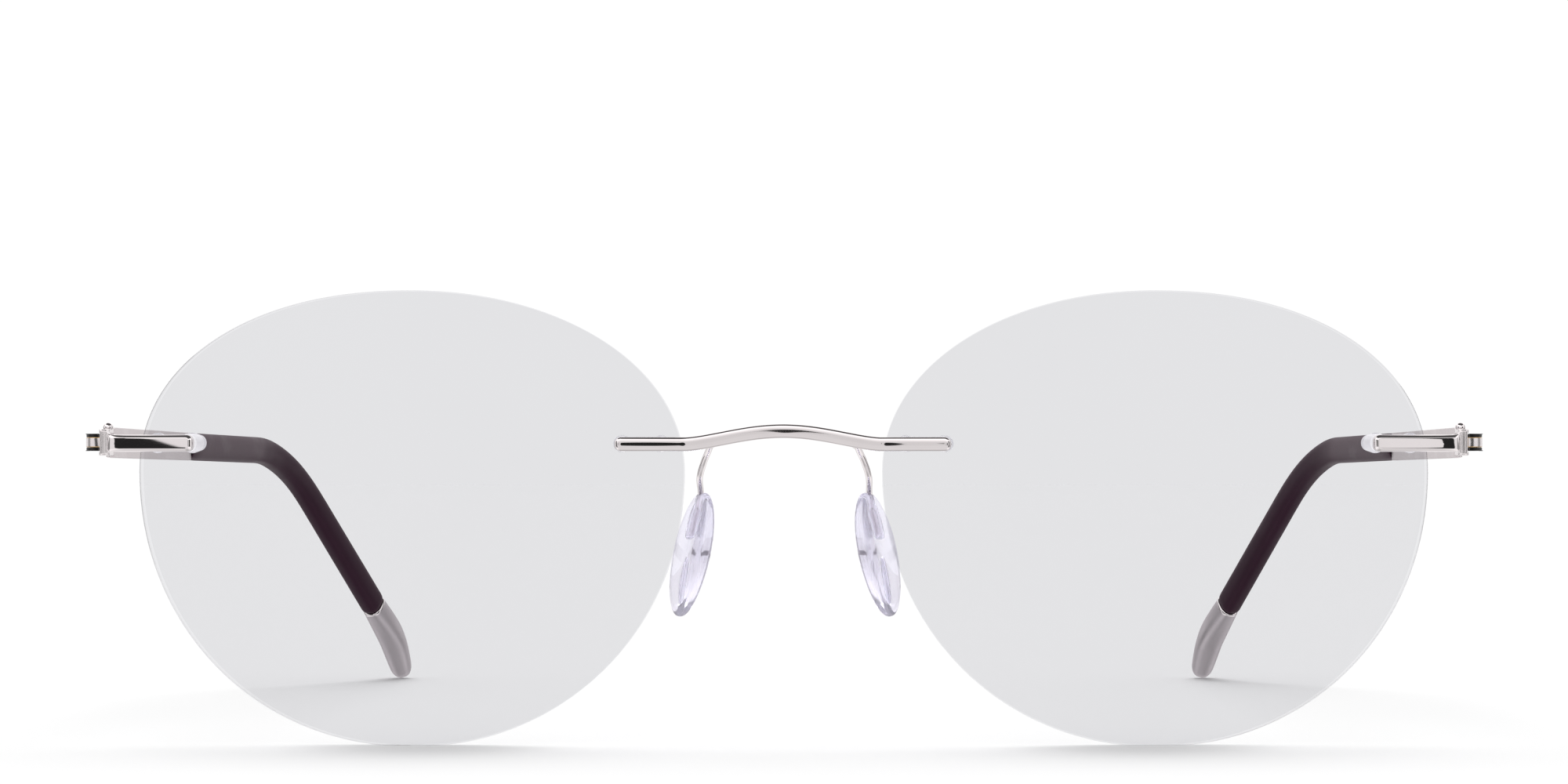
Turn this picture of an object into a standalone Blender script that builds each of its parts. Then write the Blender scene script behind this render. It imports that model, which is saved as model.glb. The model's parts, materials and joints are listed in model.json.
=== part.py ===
"""Rimless spectacles with drilled oval lenses, a bridge bar, silicone nose
pads, pin hinges and sleeved titanium temples.

Frame: metres, +X to the right seen from the front, +Y from the lenses towards
the wearer, +Z up. The origin is the middle of the footprint on the table.
"right" and "left" in the names are the wearer's, so the right side is at -X.

Sizes are in millimetres, in a working frame whose Y starts at the lens centre's
front face; add() converts them. "side" is -1 for the right and 1 for the left.
"""

import math
from collections import namedtuple

import bmesh
import bpy
from mathutils import Matrix, Vector

for old in list(bpy.data.objects):
    bpy.data.objects.remove(old, do_unlink=True)

MM = 0.001
Y_MIDDLE = 68.234  # middle of the footprint in the working frame
SIDES = ((-1, "right"), (1, "left"))
UP = Vector((0, 0, 1))
# Steps of a rounded end: fractions of its length, 1 being the tip
BAR_END_STEPS = (0.45, 0.8, 0.98)
TIP_END_STEPS = (0.35, 0.65, 0.87, 0.98)

# Lenses
LENS_X = 36.196  # lens centre from the mirror plane
LENS_Z = 26.674  # height of the widest line
LENS_HALF_W = 26.62
LENS_TOP = 17.646
LENS_BOTTOM = 26.80  # a little past the table, then cut flat at it
LENS_LEAN = 0.012  # the outline leans outwards towards its bottom
# Superellipse power of each quarter, by the signs of (outwards, upwards)
LENS_POWERS = {(1, 1): 2.160, (1, -1): 2.065, (-1, 1): 2.065, (-1, -1): 2.050}
LENS_RADIUS = 132.0  # front curve
LENS_THICK = 2.0
PANTO = math.tan(math.radians(7.0))  # the top tilts forwards
WRAP = math.tan(math.radians(3.0))  # the outer edge turns back
LENS_SPOKES, LENS_RINGS = 48, 4
TABLE_BLOCK = (60.0, 30.0, 4.0)  # cuts the lens off below z = 0
TABLE_BLOCK_Y = 8.0

# Mounts drilled in each lens: (x, z, half the distance between the two holes)
MOUNTS = {"end": (60.0, 29.60, 1.80), "bridge": (13.5, 29.50, 1.90)}
SLOPE_STEP = 0.5  # step for measuring the lens face's slope at a mount
HOLE_R, HOLE_FROM, HOLE_TO = 0.75, -1.5, 4.5  # depths from the front face
PIN_R, PIN_FROM, PIN_TO = 0.28, -0.7, 2.35
FACE_GAP = 0.20  # lens face to the bar in front and to the plug behind

# Twin plugs
PLUG_SPANS = {"end": (-3.2, 2.65), "bridge": (-2.75, 2.75)}  # plate ends along the mount
PLUG_PLATE, PLUG_HALF_H = 0.60, 0.80
PLUG_END_STEPS = 6  # around each half-round end of the plate
PLUG_HEAD_R, PLUG_HEAD = 0.90, 0.25
TUBE_R, TUBE_FROM, TUBE_IN_PLATE = 0.60, 0.15, 0.30
BORE_R, BORE_FROM, BORE_IN_PLATE = 0.42, -1.0, 0.55

# Bridge
BRIDGE_END = 16.25
BRIDGE_ROUND = 0.62
BRIDGE_FLAT = 9.4  # straight from here outwards
BRIDGE_RISE, BRIDGE_SHOULDER = 1.26, 0.72
BRIDGE_H, BRIDGE_D = 1.36, 1.10
BRIDGE_STEPS = 22
BRIDGE_POWER = 2.8

# End pieces
BAR_IN, BAR_OUT = 57.05, 66.0
BAR_ROUND = 0.7
BAR_H, BAR_D = 1.66, 1.00
BAR_POWER = 3.2

# Hinges
HINGE_X, HINGE_Y, HINGE_Z = 66.4, 7.2, 29.70
FORK_HALF_W, FORK_HALF_H, SLOT_HALF_H = 0.52, 1.30, 0.88
FORK_AHEAD = 0.42  # fork front ahead of the bar's outer end
FORK_BEVEL = 0.12
EAR_INSET = 0.01  # keeps the rounded ears just inside the fork's faces
SLOT_DEPTH = 2.25  # from the hinge axis forwards
SLOT_CUT_W, SLOT_CUT_L = 3.0, 5.0
KNUCKLE_R, KNUCKLE_HALF_H = 0.52, 0.70
NECK_W, NECK_L, NECK_Y, NECK_INSET = 0.62, 1.0, 0.95, 0.02
HINGE_PIN_R, HINGE_BORE_R = 0.21, 0.30
HINGE_BORE_HALF = 3.0
PIN_HEAD_GAP, PIN_FOOT, PIN_CHAMFER = 0.06, 0.18, 0.08
PIN_HEAD = ((0.0, 0.50), (0.24, 0.44), (0.40, 0.24), (0.44, 0.0))  # radius, height

# Spring tongue: part of an ellipse in plan, rear to front around the outside
TONGUE_OUT, TONGUE_BACK, TONGUE_UP = 0.42, 0.45, 0.05  # its centre from the hinge's
TONGUE_HALF_X, TONGUE_HALF_Y = 1.62, 1.95
TONGUE_FIRST, TONGUE_SWEEP, TONGUE_STEPS = 104.0, 190.0, 12  # degrees
TONGUE_HALF_T, TONGUE_HALF_H, TONGUE_POWER = 0.19, 0.76, 4.0

# Temples: every START, END and FROM is a length behind the hinge axis
FLAT_POWER, ROUND_POWER = 5.0, 2.7  # sections of the metal, of the sleeve and tip
STRIP_HALF_T, STRIP_HALF_H = 0.35, 1.50
STRIP_START = 0.95
STRIP_NOSE = ((0.0, 0.82), (0.3, 0.95), (0.8, 1.0))  # length from its start, height scale
SLEEVE_START, SLEEVE_END = 45.2, 128.0
SHOULDER = SLEEVE_START - 0.3  # the strip steps down to the core
SHOULDER_STEP = 0.1
CORE_HALF_T, CORE_HALF_H, CORE_END = 0.28, 0.85, 133.6
SLEEVE_NOSE = ((0.0, 0.86), (0.25, 0.96))  # length from its start, section scale
SLEEVE_FULL = 0.8  # full section from this far behind its start
SLEEVE_HALF_T, SLEEVE_HALF_H = (0.98, 0.27), (1.50, 0.12)  # at the start, growth to the end
SLEEVE_BORE_T, SLEEVE_BORE_H = 0.55, 1.12
BORE_PAST = 1.0  # a bore's cutter runs this far past an open end
TIP_START = SLEEVE_END + 0.3
TIP_STATIONS = (TIP_START, 131.0, 134.2)
TIP_HALF_T, TIP_HALF_H = (1.22, -0.12), (1.58, 0.17)  # at the start, growth
TIP_GROW = 6.0  # length over which the tip's section changes
TIP_ROUND = 1.9
SOCKET_PAST = 0.5
TEMPLE_END = 141.05
BEND_START, BEND_R, BEND_ANGLE = 93.0, 20.0, math.radians(45.0)
TEMPLE_SLOPE = 0.004
# Inward travel per length: nearly straight, then bowed, then eased at the end
STRAIGHT_RATE, BOW_RATE, END_RATE = 0.012, 0.325, 0.12
BOW_FROM, BOW_TO, END_RATE_FROM = 90.0, 100.0, 134.0
BOW_STEPS = 240

# Nose pads
PAD_CENTRE = (9.22, 10.5, 18.72)
PAD_SPLAY, PAD_LEAN = math.radians(27.0), 0.25
PAD_HALF_W, PAD_HALF_T, PAD_HALF_L = 3.65, 1.10, 6.35
PAD_NARROWING = 0.10  # narrower at the top by this share, wider at the bottom
PAD_W_POWER, PAD_T_POWER = 0.92, 0.80
# Boxes in a pad's directions: place along its length, (width, thickness, length)
PAD_SLOT_AT, PAD_SLOT = 4.4, (2.9, 0.92, 8.0)
PADDLE_AT, PADDLE, PADDLE_BEVEL = 2.7, (2.1, 0.36, 3.8), 0.12

# Pad arms
ARM_R = 0.29
ARM_BEHIND, ARM_BELOW = 0.12, 0.18  # start behind the bridge's back, below its middle
# Wire knots: x from the mirror plane, then y and z from the wire's start
ARM_KNOTS = (
    (7.00, 0.0, 0.0), (7.08, 2.0, -0.15), (7.40, 3.9, -0.85),
    (7.85, 5.2, -1.85), (8.15, 6.6, -3.4),
)
ARM_PAD_KNOTS = ((0.25, 6.2), (0.0, 4.4))  # width and length places in the pad
ARM_STEPS = 4  # path points per knot

body = bpy.data.collections.new("rimless_spectacles")
cutters = bpy.data.collections.new("cutters")  # every boolean operand
for group in (body, cutters):
    bpy.context.scene.collection.children.link(group)


# ---------------------------------------------------------------- materials


def material(name, colour, roughness, metallic=0.0, alpha=1.0):
    mat = bpy.data.materials.new(name)
    mat.use_nodes = True
    inputs = mat.node_tree.nodes["Principled BSDF"].inputs
    inputs["Base Color"].default_value = (*colour, 1.0)
    inputs["Roughness"].default_value = roughness
    inputs["Metallic"].default_value = metallic
    inputs["Alpha"].default_value = alpha
    return mat


LENS_MAT = material("clear_lens", colour=(0.76, 0.77, 0.78), roughness=0.03, alpha=0.4)
CHROME = material("polished_metal", colour=(0.80, 0.78, 0.76), roughness=0.08, metallic=1.0)
TITANIUM = material(
    "brushed_titanium", colour=(0.62, 0.60, 0.60), roughness=0.30, metallic=1.0
)
SLEEVE_MAT = material("plum_sleeve", colour=(0.035, 0.020, 0.030), roughness=0.55)
CLEAR = material("clear_plastic", colour=(0.85, 0.85, 0.90), roughness=0.15, alpha=0.6)
SILICONE = material("clear_silicone", colour=(0.82, 0.82, 0.92), roughness=0.25, alpha=0.6)


# ---------------------------------------------------------------- building


def add(name, bm, mat, origin=(0.0, 0.0, 0.0), group=body, parent=None):
    """An object from a bmesh drawn in millimetres in the working frame."""
    bmesh.ops.recalc_face_normals(bm, faces=bm.faces)
    mesh = bpy.data.meshes.new(name)
    bmesh.ops.translate(bm, verts=bm.verts, vec=-Vector(origin))
    bmesh.ops.scale(bm, verts=bm.verts, vec=(MM, MM, MM))
    bm.to_mesh(mesh)
    bm.free()
    ob = bpy.data.objects.new(name, mesh)
    group.objects.link(ob)
    if mat:
        mesh.materials.append(mat)
    mesh.shade_smooth()
    mesh.set_sharp_from_angle(angle=math.radians(35))
    if parent is None:
        ob.location = (Vector(origin) - Vector((0.0, Y_MIDDLE, 0.0))) * MM
    else:
        ob.parent = parent
        ob.location = (Vector(origin) - Vector(parent["at_mm"])) * MM
    return ob


def combine(ob, operation, name, bm):
    """Join a hidden helper solid to an object, or cut it out, by a modifier."""
    helper = add(name, bm, None, group=cutters)
    helper.hide_render = True
    helper.display_type = "WIRE"
    mod = ob.modifiers.new(name, "BOOLEAN")
    mod.operation = operation
    mod.solver = "EXACT"
    mod.object = helper


def join(ob, name, bm):
    combine(ob, "UNION", name, bm)


def cut(ob, name, bm):
    combine(ob, "DIFFERENCE", name, bm)


def box(centre, size, bevel=0.0, turn=None):
    bm = bmesh.new()
    bmesh.ops.create_cube(bm, size=1.0)
    bmesh.ops.scale(bm, verts=bm.verts, vec=size)
    if bevel:
        bmesh.ops.bevel(
            bm, geom=bm.edges[:], offset=bevel, segments=2, profile=0.5, affect="EDGES"
        )
    if turn is not None:
        bmesh.ops.rotate(bm, verts=bm.verts, matrix=turn)
    bmesh.ops.translate(bm, verts=bm.verts, vec=centre)
    return bm


def cylinder(start, end, radius, segments=14):
    along = end - start
    bm = bmesh.new()
    bmesh.ops.create_cone(
        bm, cap_ends=True, segments=segments, radius1=radius, radius2=radius,
        depth=along.length,
    )
    turn = UP.rotation_difference(along.normalized())
    bmesh.ops.rotate(bm, verts=bm.verts, matrix=turn.to_matrix())
    bmesh.ops.translate(bm, verts=bm.verts, vec=(start + end) / 2)
    return bm


def revolve(profile, steps):
    """A profile of (radius, z) points turned once around the Z axis."""
    bm = bmesh.new()
    verts = [bm.verts.new((radius, 0, z)) for radius, z in profile]
    edges = [bm.edges.new(pair) for pair in zip(verts, verts[1:])]
    bmesh.ops.spin(
        bm, geom=verts + edges, cent=(0, 0, 0), axis=(0, 0, 1),
        angle=2 * math.pi, steps=steps, use_merge=True,
    )
    bmesh.ops.remove_doubles(bm, verts=bm.verts, dist=1e-4)
    return bm


def loft(rings):
    """A closed solid through rings that all have the same number of points."""
    bm = bmesh.new()
    loops = [[bm.verts.new(point) for point in ring] for ring in rings]
    for here, there in zip(loops, loops[1:]):
        for i in range(len(here)):
            j = (i + 1) % len(here)
            bm.faces.new((here[i], here[j], there[j], there[i]))
    bm.faces.new(loops[0])
    bm.faces.new(loops[-1])
    return bm


def signed_power(value, power):
    return math.copysign(abs(value) ** power, value)


def superellipse(angle, half_x, half_y, power):
    return (
        signed_power(math.cos(angle), 2 / power) * half_x,
        signed_power(math.sin(angle), 2 / power) * half_y,
    )


def ring_points(centre, across, up, half_t, half_h, power, count):
    """A rounded rectangle: a superellipse around a point of a path."""
    points = []
    for i in range(count):
        angle = 2 * math.pi * (i + 0.5) / count
        x, z = superellipse(angle, half_t, half_h, power)
        points.append(centre + across * x + up * z)
    return points


def path_axes(ahead, behind):
    """Directions across and up from a path, between two of its points."""
    tangent = (ahead - behind).normalized()
    across = tangent.cross(UP).normalized()
    return across, across.cross(tangent).normalized()


def end_scale(fraction):
    """Size of a section at a fraction of a rounded end, 1 being its tip."""
    return math.sqrt(max(0.0, 1.0 - fraction * fraction))


# ---------------------------------------------------------------- mounts

# centre: on the lens face, between the holes; along: outwards on the face;
# into: backwards through the lens
Mount = namedtuple("Mount", "centre along into half_pitch")


def lens_face(x, z):
    """Depth of a lens's front face; x is the distance from the mirror plane."""
    out, up = x - LENS_X, z - LENS_Z
    return (out * out + up * up) / (2 * LENS_RADIUS) + out * WRAP - up * PANTO


def lens_mount(kind, side):
    x, z, half_pitch = MOUNTS[kind]
    rise = lens_face(x + SLOPE_STEP, z) - lens_face(x - SLOPE_STEP, z)
    slope = rise / (2 * SLOPE_STEP)
    return Mount(
        centre=Vector((side * x, lens_face(x, z), z)),
        along=Vector((side, slope, 0.0)).normalized(),
        into=Vector((-side * slope, 1.0, 0.0)).normalized(),
        half_pitch=half_pitch,
    )


def mount_rods(mount, start, end, radius, segments=14):
    """Tags and cylinders for a mount's inner and outer hole, by depth from the face."""
    for tag, way in (("in", -1), ("out", 1)):
        point = mount.centre + mount.along * mount.half_pitch * way
        into = mount.into
        yield tag, cylinder(point + into * start, point + into * end, radius, segments)


def add_pins(ob, name, mount, side_name):
    """The pins that reach back from a metal bar into the plugs."""
    for tag, pin in mount_rods(mount, PIN_FROM, PIN_TO, PIN_R, 10):
        join(ob, f"{name}_pin_{side_name[0]}_{tag}", pin)


# ---------------------------------------------------------------- lenses


def lens_outline(angle):
    """The edge point at an angle: (outwards, upwards) from the lens centre."""
    right_half, top_half = math.cos(angle) >= 0, math.sin(angle) >= 0
    power = LENS_POWERS[(1 if right_half else -1, 1 if top_half else -1)]
    half_h = LENS_TOP if top_half else LENS_BOTTOM
    out, up = superellipse(angle, LENS_HALF_W, half_h, power)
    return out - LENS_LEAN * up, up


def make_lens(side, side_name):
    # A unit disc, stretched to the outline and laid on the front face
    bm = revolve([(i / LENS_RINGS, 0) for i in range(LENS_RINGS + 1)], LENS_SPOKES)
    for v in bm.verts:
        radius = math.hypot(v.co.x, v.co.y)
        out, up = lens_outline(math.atan2(v.co.y, v.co.x)) if radius > 1e-6 else (0, 0)
        x, z = LENS_X + radius * out, LENS_Z + radius * up
        v.co = (side * x, lens_face(x, z), z)
    extruded = bmesh.ops.extrude_face_region(bm, geom=bm.faces[:])["geom"]
    back = [item for item in extruded if isinstance(item, bmesh.types.BMVert)]
    bmesh.ops.translate(bm, verts=back, vec=(0, LENS_THICK, 0))
    ob = add("lens_" + side_name, bm, LENS_MAT, (side * LENS_X, 0, LENS_Z))
    for kind in MOUNTS:
        for tag, hole in mount_rods(lens_mount(kind, side), HOLE_FROM, HOLE_TO, HOLE_R):
            cut(ob, f"hole_{side_name}_{kind}_{tag}", hole)
    table_centre = (side * LENS_X, TABLE_BLOCK_Y, -TABLE_BLOCK[2] / 2)
    cut(ob, "table_" + side_name, box(table_centre, TABLE_BLOCK))


# ---------------------------------------------------------------- twin plugs


def make_plug(side, side_name, kind):
    """Two bushings on one plate, pushed through the lens from behind."""
    mount = lens_mount(kind, side)
    low, high = PLUG_SPANS[kind]
    back = LENS_THICK * mount.into.y + FACE_GAP
    middle = (
        mount.centre + mount.along * (low + high) / 2 + mount.into * (back + PLUG_PLATE / 2)
    )
    rings = []
    for depth in (-PLUG_PLATE / 2, PLUG_PLATE / 2):
        ring = []
        for end in (1, -1):
            for i in range(PLUG_END_STEPS + 1):
                angle = math.pi * i / PLUG_END_STEPS - math.pi / 2
                reach = (high - low) / 2 - PLUG_HALF_H + PLUG_HALF_H * math.cos(angle)
                ring.append(
                    middle + mount.into * depth + mount.along * reach * end
                    + UP * PLUG_HALF_H * math.sin(angle) * end
                )
        rings.append(ring)
    name = f"{kind}_plug_{side_name}"
    ob = add(name, loft(rings), CLEAR, middle)
    tubes = mount_rods(mount, TUBE_FROM, back + TUBE_IN_PLATE, TUBE_R)
    heads = mount_rods(mount, back, back + PLUG_PLATE + PLUG_HEAD, PLUG_HEAD_R)
    for (tag, tube), (_, head) in zip(tubes, heads):
        join(ob, f"{name}_tube_{tag}", tube)
        join(ob, f"{name}_head_{tag}", head)
    for tag, bore in mount_rods(mount, BORE_FROM, back + BORE_IN_PLATE, BORE_R, 12):
        cut(ob, f"{name}_bore_{tag}", bore)


# ---------------------------------------------------------------- bridge


def bridge_centre(x):
    """The middle of the bridge bar's section at a signed x."""
    distance = abs(x)
    mount = lens_mount("bridge", 1)
    slope = mount.along.y / mount.along.x
    at = mount.centre - mount.into * (FACE_GAP + BRIDGE_D / 2)
    if distance >= BRIDGE_FLAT:
        return Vector((x, at.y + (distance - at.x) * slope, at.z))
    y = at.y + (BRIDGE_FLAT - at.x) * slope
    y -= slope * BRIDGE_FLAT * 2 / math.pi * math.sin(
        math.pi / 2 * (1 - distance / BRIDGE_FLAT)
    )
    wave = 0.5 * (1 + math.cos(math.pi * distance / BRIDGE_FLAT))
    return Vector((x, y, at.z + BRIDGE_RISE * wave**BRIDGE_SHOULDER))


def make_bridge():
    # Stations: x, fraction of the rounded end
    rounded = [(BRIDGE_END - BRIDGE_ROUND * (1 - t), t) for t in BAR_END_STEPS]
    inner = BRIDGE_END - BRIDGE_ROUND
    stations = [(-x, t) for x, t in reversed(rounded)]
    stations += [
        (-inner + 2 * inner * i / BRIDGE_STEPS, 0.0) for i in range(BRIDGE_STEPS + 1)
    ]
    stations += rounded
    rings = []
    for x, fraction in stations:
        across, up = path_axes(bridge_centre(x + 0.05), bridge_centre(x - 0.05))
        scale = end_scale(fraction)
        rings.append(
            ring_points(
                bridge_centre(x), across, up, BRIDGE_D / 2 * scale, BRIDGE_H / 2 * scale,
                BRIDGE_POWER, 12,
            )
        )
    ob = add("bridge", loft(rings), CHROME, bridge_centre(0.0))
    for side, side_name in reversed(SIDES):
        add_pins(ob, "bridge", lens_mount("bridge", side), side_name)


# ---------------------------------------------------------------- hinges


def hinge_centre(side):
    return Vector((side * HINGE_X, HINGE_Y, HINGE_Z))


def hinge_cylinder(side, half_h, radius, segments=14):
    """An upright cylinder centred on the hinge."""
    centre = hinge_centre(side)
    return cylinder(centre - UP * half_h, centre + UP * half_h, radius, segments)


def make_end_piece(side, side_name):
    """The bar in front of the lens's outer end, with the hinge's slotted fork."""
    mount = lens_mount("end", side)
    at = mount.centre - mount.into * (FACE_GAP + BAR_D / 2)
    mount_x = MOUNTS["end"][0]
    low = (BAR_IN - mount_x) / abs(mount.along.x)
    high = (BAR_OUT - mount_x) / abs(mount.along.x)
    # Stations: place along the bar, fraction of the rounded end
    stations = [(low + BAR_ROUND * (1 - t), t) for t in reversed(BAR_END_STEPS)]
    stations += [(low + BAR_ROUND, 0.0), (high, 0.0)]
    rings = [
        ring_points(
            at + mount.along * place, mount.into, UP, BAR_D / 2 * end_scale(fraction),
            BAR_H / 2 * end_scale(fraction), BAR_POWER, 12,
        )
        for place, fraction in stations
    ]
    name = "end_piece_" + side_name
    ob = add(name, loft(rings), CHROME, at)
    front = (at + mount.along * high).y - FORK_AHEAD
    fork = box(
        (side * HINGE_X, (front + HINGE_Y) / 2, HINGE_Z),
        (2 * FORK_HALF_W, HINGE_Y - front, 2 * FORK_HALF_H), FORK_BEVEL,
    )
    join(ob, "fork_" + side_name, fork)
    ears = hinge_cylinder(side, FORK_HALF_H - EAR_INSET, FORK_HALF_W - EAR_INSET)
    join(ob, "ears_" + side_name, ears)
    slot = box(
        (side * HINGE_X, HINGE_Y - SLOT_DEPTH + SLOT_CUT_L / 2, HINGE_Z),
        (SLOT_CUT_W, SLOT_CUT_L, 2 * SLOT_HALF_H),
    )
    cut(ob, "slot_" + side_name, slot)
    bore = hinge_cylinder(side, HINGE_BORE_HALF, HINGE_BORE_R, 12)
    cut(ob, "ear_bore_" + side_name, bore)
    add_pins(ob, name, mount, side_name)


def make_hinge_pin(side, side_name):
    """A turned pin with a domed head, dropped in from above."""
    head_z = HINGE_Z + FORK_HALF_H + PIN_HEAD_GAP
    foot_z = HINGE_Z - FORK_HALF_H - PIN_FOOT
    profile = [(radius, head_z + z) for radius, z in PIN_HEAD]
    profile += [
        (HINGE_PIN_R, head_z), (HINGE_PIN_R, foot_z + PIN_CHAMFER),
        (HINGE_PIN_R - PIN_CHAMFER, foot_z), (0.0, foot_z),
    ]
    bm = revolve(profile, 12)
    bmesh.ops.translate(bm, verts=bm.verts, vec=(side * HINGE_X, HINGE_Y, 0))
    add("hinge_pin_" + side_name, bm, CHROME, hinge_centre(side))


# ---------------------------------------------------------------- temples


def bow(length):
    """How far a temple has come inwards at a length behind its hinge."""
    total = 0.0
    for i in range(BOW_STEPS):
        place = (i + 0.5) * length / BOW_STEPS
        grow = min(1.0, max(0.0, (place - BOW_FROM) / (BOW_TO - BOW_FROM)))
        rate = STRAIGHT_RATE + (BOW_RATE - STRAIGHT_RATE) * grow
        if place > END_RATE_FROM:
            rate = END_RATE
        total += rate * length / BOW_STEPS
    return total


def temple_point(length, side):
    """The middle of a temple at a length measured along its side view."""
    slope = math.atan(TEMPLE_SLOPE)
    arc = BEND_R * (BEND_ANGLE - slope)
    y = min(length, BEND_START)
    z = -TEMPLE_SLOPE * y
    past = length - BEND_START
    if past > 0:
        angle = slope + min(past, arc) / BEND_R
        y += BEND_R * (math.sin(angle) - math.sin(slope))
        z -= BEND_R * (math.cos(slope) - math.cos(angle))
    if past > arc:
        y += (past - arc) * math.cos(BEND_ANGLE)
        z -= (past - arc) * math.sin(BEND_ANGLE)
    return Vector((side * (HINGE_X - bow(length)), HINGE_Y + y, HINGE_Z + z))


def temple_ring(length, side, half_t, half_h, power, count=12):
    across, up = path_axes(temple_point(length + 0.2, side), temple_point(length - 0.2, side))
    return ring_points(temple_point(length, side), across, up, half_t, half_h, power, count)


def bore_solid(side, lengths):
    """The flat hollow for the core, through the given lengths."""
    return loft([
        temple_ring(length, side, SLEEVE_BORE_T, SLEEVE_BORE_H, FLAT_POWER, 8)
        for length in lengths
    ])


def temple_grid(start, end):
    """Lengths from start to end, closer together where the temple bends."""
    inside = [place for place in (70.0, 86.0) if start < place < end]
    place = 90.0
    while place < end:
        if place > start:
            inside.append(place)
        place += 2.5 if place < 112.0 else 5.0
    return [start] + [place for place in inside if end - place > 0.4] + [end]


def make_temple_axis(side, side_name):
    """The empty on the hinge axis that carries a temple's pieces."""
    empty = bpy.data.objects.new("temple_axis_" + side_name, None)
    body.objects.link(empty)
    empty["at_mm"] = (side * HINGE_X, HINGE_Y, HINGE_Z)
    empty.location = Vector((side * HINGE_X, HINGE_Y - Y_MIDDLE, HINGE_Z)) * MM
    return empty


def tongue_solid(side):
    """The spring tongue that bows out past the fork."""
    middle = hinge_centre(side) + Vector((side * TONGUE_OUT, TONGUE_BACK, TONGUE_UP))
    rings = []
    for i in range(TONGUE_STEPS + 1):
        angle = math.radians(TONGUE_FIRST - TONGUE_SWEEP * i / TONGUE_STEPS)
        x, y = side * math.cos(angle), math.sin(angle)
        centre = middle + Vector((TONGUE_HALF_X * x, TONGUE_HALF_Y * y, 0))
        out = Vector((x / TONGUE_HALF_X, y / TONGUE_HALF_Y, 0)).normalized()
        rings.append(
            ring_points(centre, out, UP, TONGUE_HALF_T, TONGUE_HALF_H, TONGUE_POWER, 8)
        )
    return loft(rings)


def make_temple(side, side_name, axis):
    """The metal strip and its thinner core, with the hinge's middle knuckle."""
    strip = [(STRIP_START + step, scale) for step, scale in STRIP_NOSE]
    strip.append((SHOULDER - SHOULDER_STEP, 1.0))
    rings = [
        temple_ring(length, side, STRIP_HALF_T, STRIP_HALF_H * scale, FLAT_POWER)
        for length, scale in strip
    ]
    rings += [
        temple_ring(length, side, CORE_HALF_T, CORE_HALF_H, FLAT_POWER)
        for length in temple_grid(SHOULDER, CORE_END)
    ]
    hinge = hinge_centre(side)
    ob = add("temple_" + side_name, loft(rings), TITANIUM, hinge, parent=axis)
    knuckle = hinge_cylinder(side, KNUCKLE_HALF_H, KNUCKLE_R, 16)
    join(ob, "knuckle_" + side_name, knuckle)
    neck = box(
        hinge + Vector((0, NECK_Y, 0)), (NECK_W, NECK_L, 2 * (KNUCKLE_HALF_H - NECK_INSET))
    )
    join(ob, "neck_" + side_name, neck)
    join(ob, "tongue_" + side_name, tongue_solid(side))
    bore = hinge_cylinder(side, HINGE_BORE_HALF, HINGE_BORE_R, 12)
    cut(ob, "knuckle_bore_" + side_name, bore)


def grown(size, share):
    """A (start, growth) pair at a share of the growth."""
    return size[0] + size[1] * share


def make_sleeve(side, side_name, axis):
    stations = [(SLEEVE_START + step, scale) for step, scale in SLEEVE_NOSE]
    stations += [
        (length, 1.0) for length in temple_grid(SLEEVE_START + SLEEVE_FULL, SLEEVE_END)
    ]
    rings = []
    for length, scale in stations:
        share = (length - SLEEVE_START) / (SLEEVE_END - SLEEVE_START)
        half_t = grown(SLEEVE_HALF_T, share) * scale
        half_h = grown(SLEEVE_HALF_H, share) * scale
        rings.append(temple_ring(length, side, half_t, half_h, ROUND_POWER))
    origin = temple_point(SLEEVE_START, side)
    ob = add("temple_sleeve_" + side_name, loft(rings), SLEEVE_MAT, origin, parent=axis)
    lengths = temple_grid(SLEEVE_START - BORE_PAST, SLEEVE_END + BORE_PAST)
    cut(ob, "sleeve_bore_" + side_name, bore_solid(side, lengths))


def make_tip(side, side_name, axis):
    round_from = TEMPLE_END - TIP_ROUND
    stations = [(length, 0.0) for length in (*TIP_STATIONS, round_from)]
    stations += [(round_from + TIP_ROUND * t, t) for t in TIP_END_STEPS]
    rings = []
    for length, fraction in stations:
        share = min(1.0, (length - TIP_START) / TIP_GROW)
        half_t = grown(TIP_HALF_T, share) * end_scale(fraction)
        half_h = grown(TIP_HALF_H, share) * end_scale(fraction)
        rings.append(temple_ring(length, side, half_t, half_h, ROUND_POWER))
    origin = temple_point(TIP_START, side)
    ob = add("temple_tip_" + side_name, loft(rings), TITANIUM, origin, parent=axis)
    lengths = (TIP_START - BORE_PAST, TIP_STATIONS[1], CORE_END + SOCKET_PAST)
    cut(ob, "tip_socket_" + side_name, bore_solid(side, lengths))


# ---------------------------------------------------------------- nose pads


def pad_frame(side):
    """Width, face and length directions of a pad, the face towards the nose."""
    wide = Vector((math.sin(PAD_SPLAY), math.cos(PAD_SPLAY), 0.0))
    long = Vector((-PAD_LEAN, 0.0, 1.0)).normalized()
    long = (long - wide * long.dot(wide)).normalized()
    face = -wide.cross(long)
    flip = Vector((side, 1.0, 1.0))
    return wide * flip, face * flip, long * flip


def pad_point(side, width=0.0, depth=0.0, length=0.0):
    wide, face, long = pad_frame(side)
    x, y, z = PAD_CENTRE
    return Vector((side * x, y, z)) + wide * width + face * depth + long * length


def pad_box(side, length, size, bevel=0.0):
    """A box laid along a pad's own directions."""
    wide, face, long = pad_frame(side)
    # The mirrored side's face is reversed to keep the turn a pure rotation
    turn = Matrix((wide, face * side, long)).transposed()
    return box(pad_point(side, length=length), size, bevel, turn)


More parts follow.
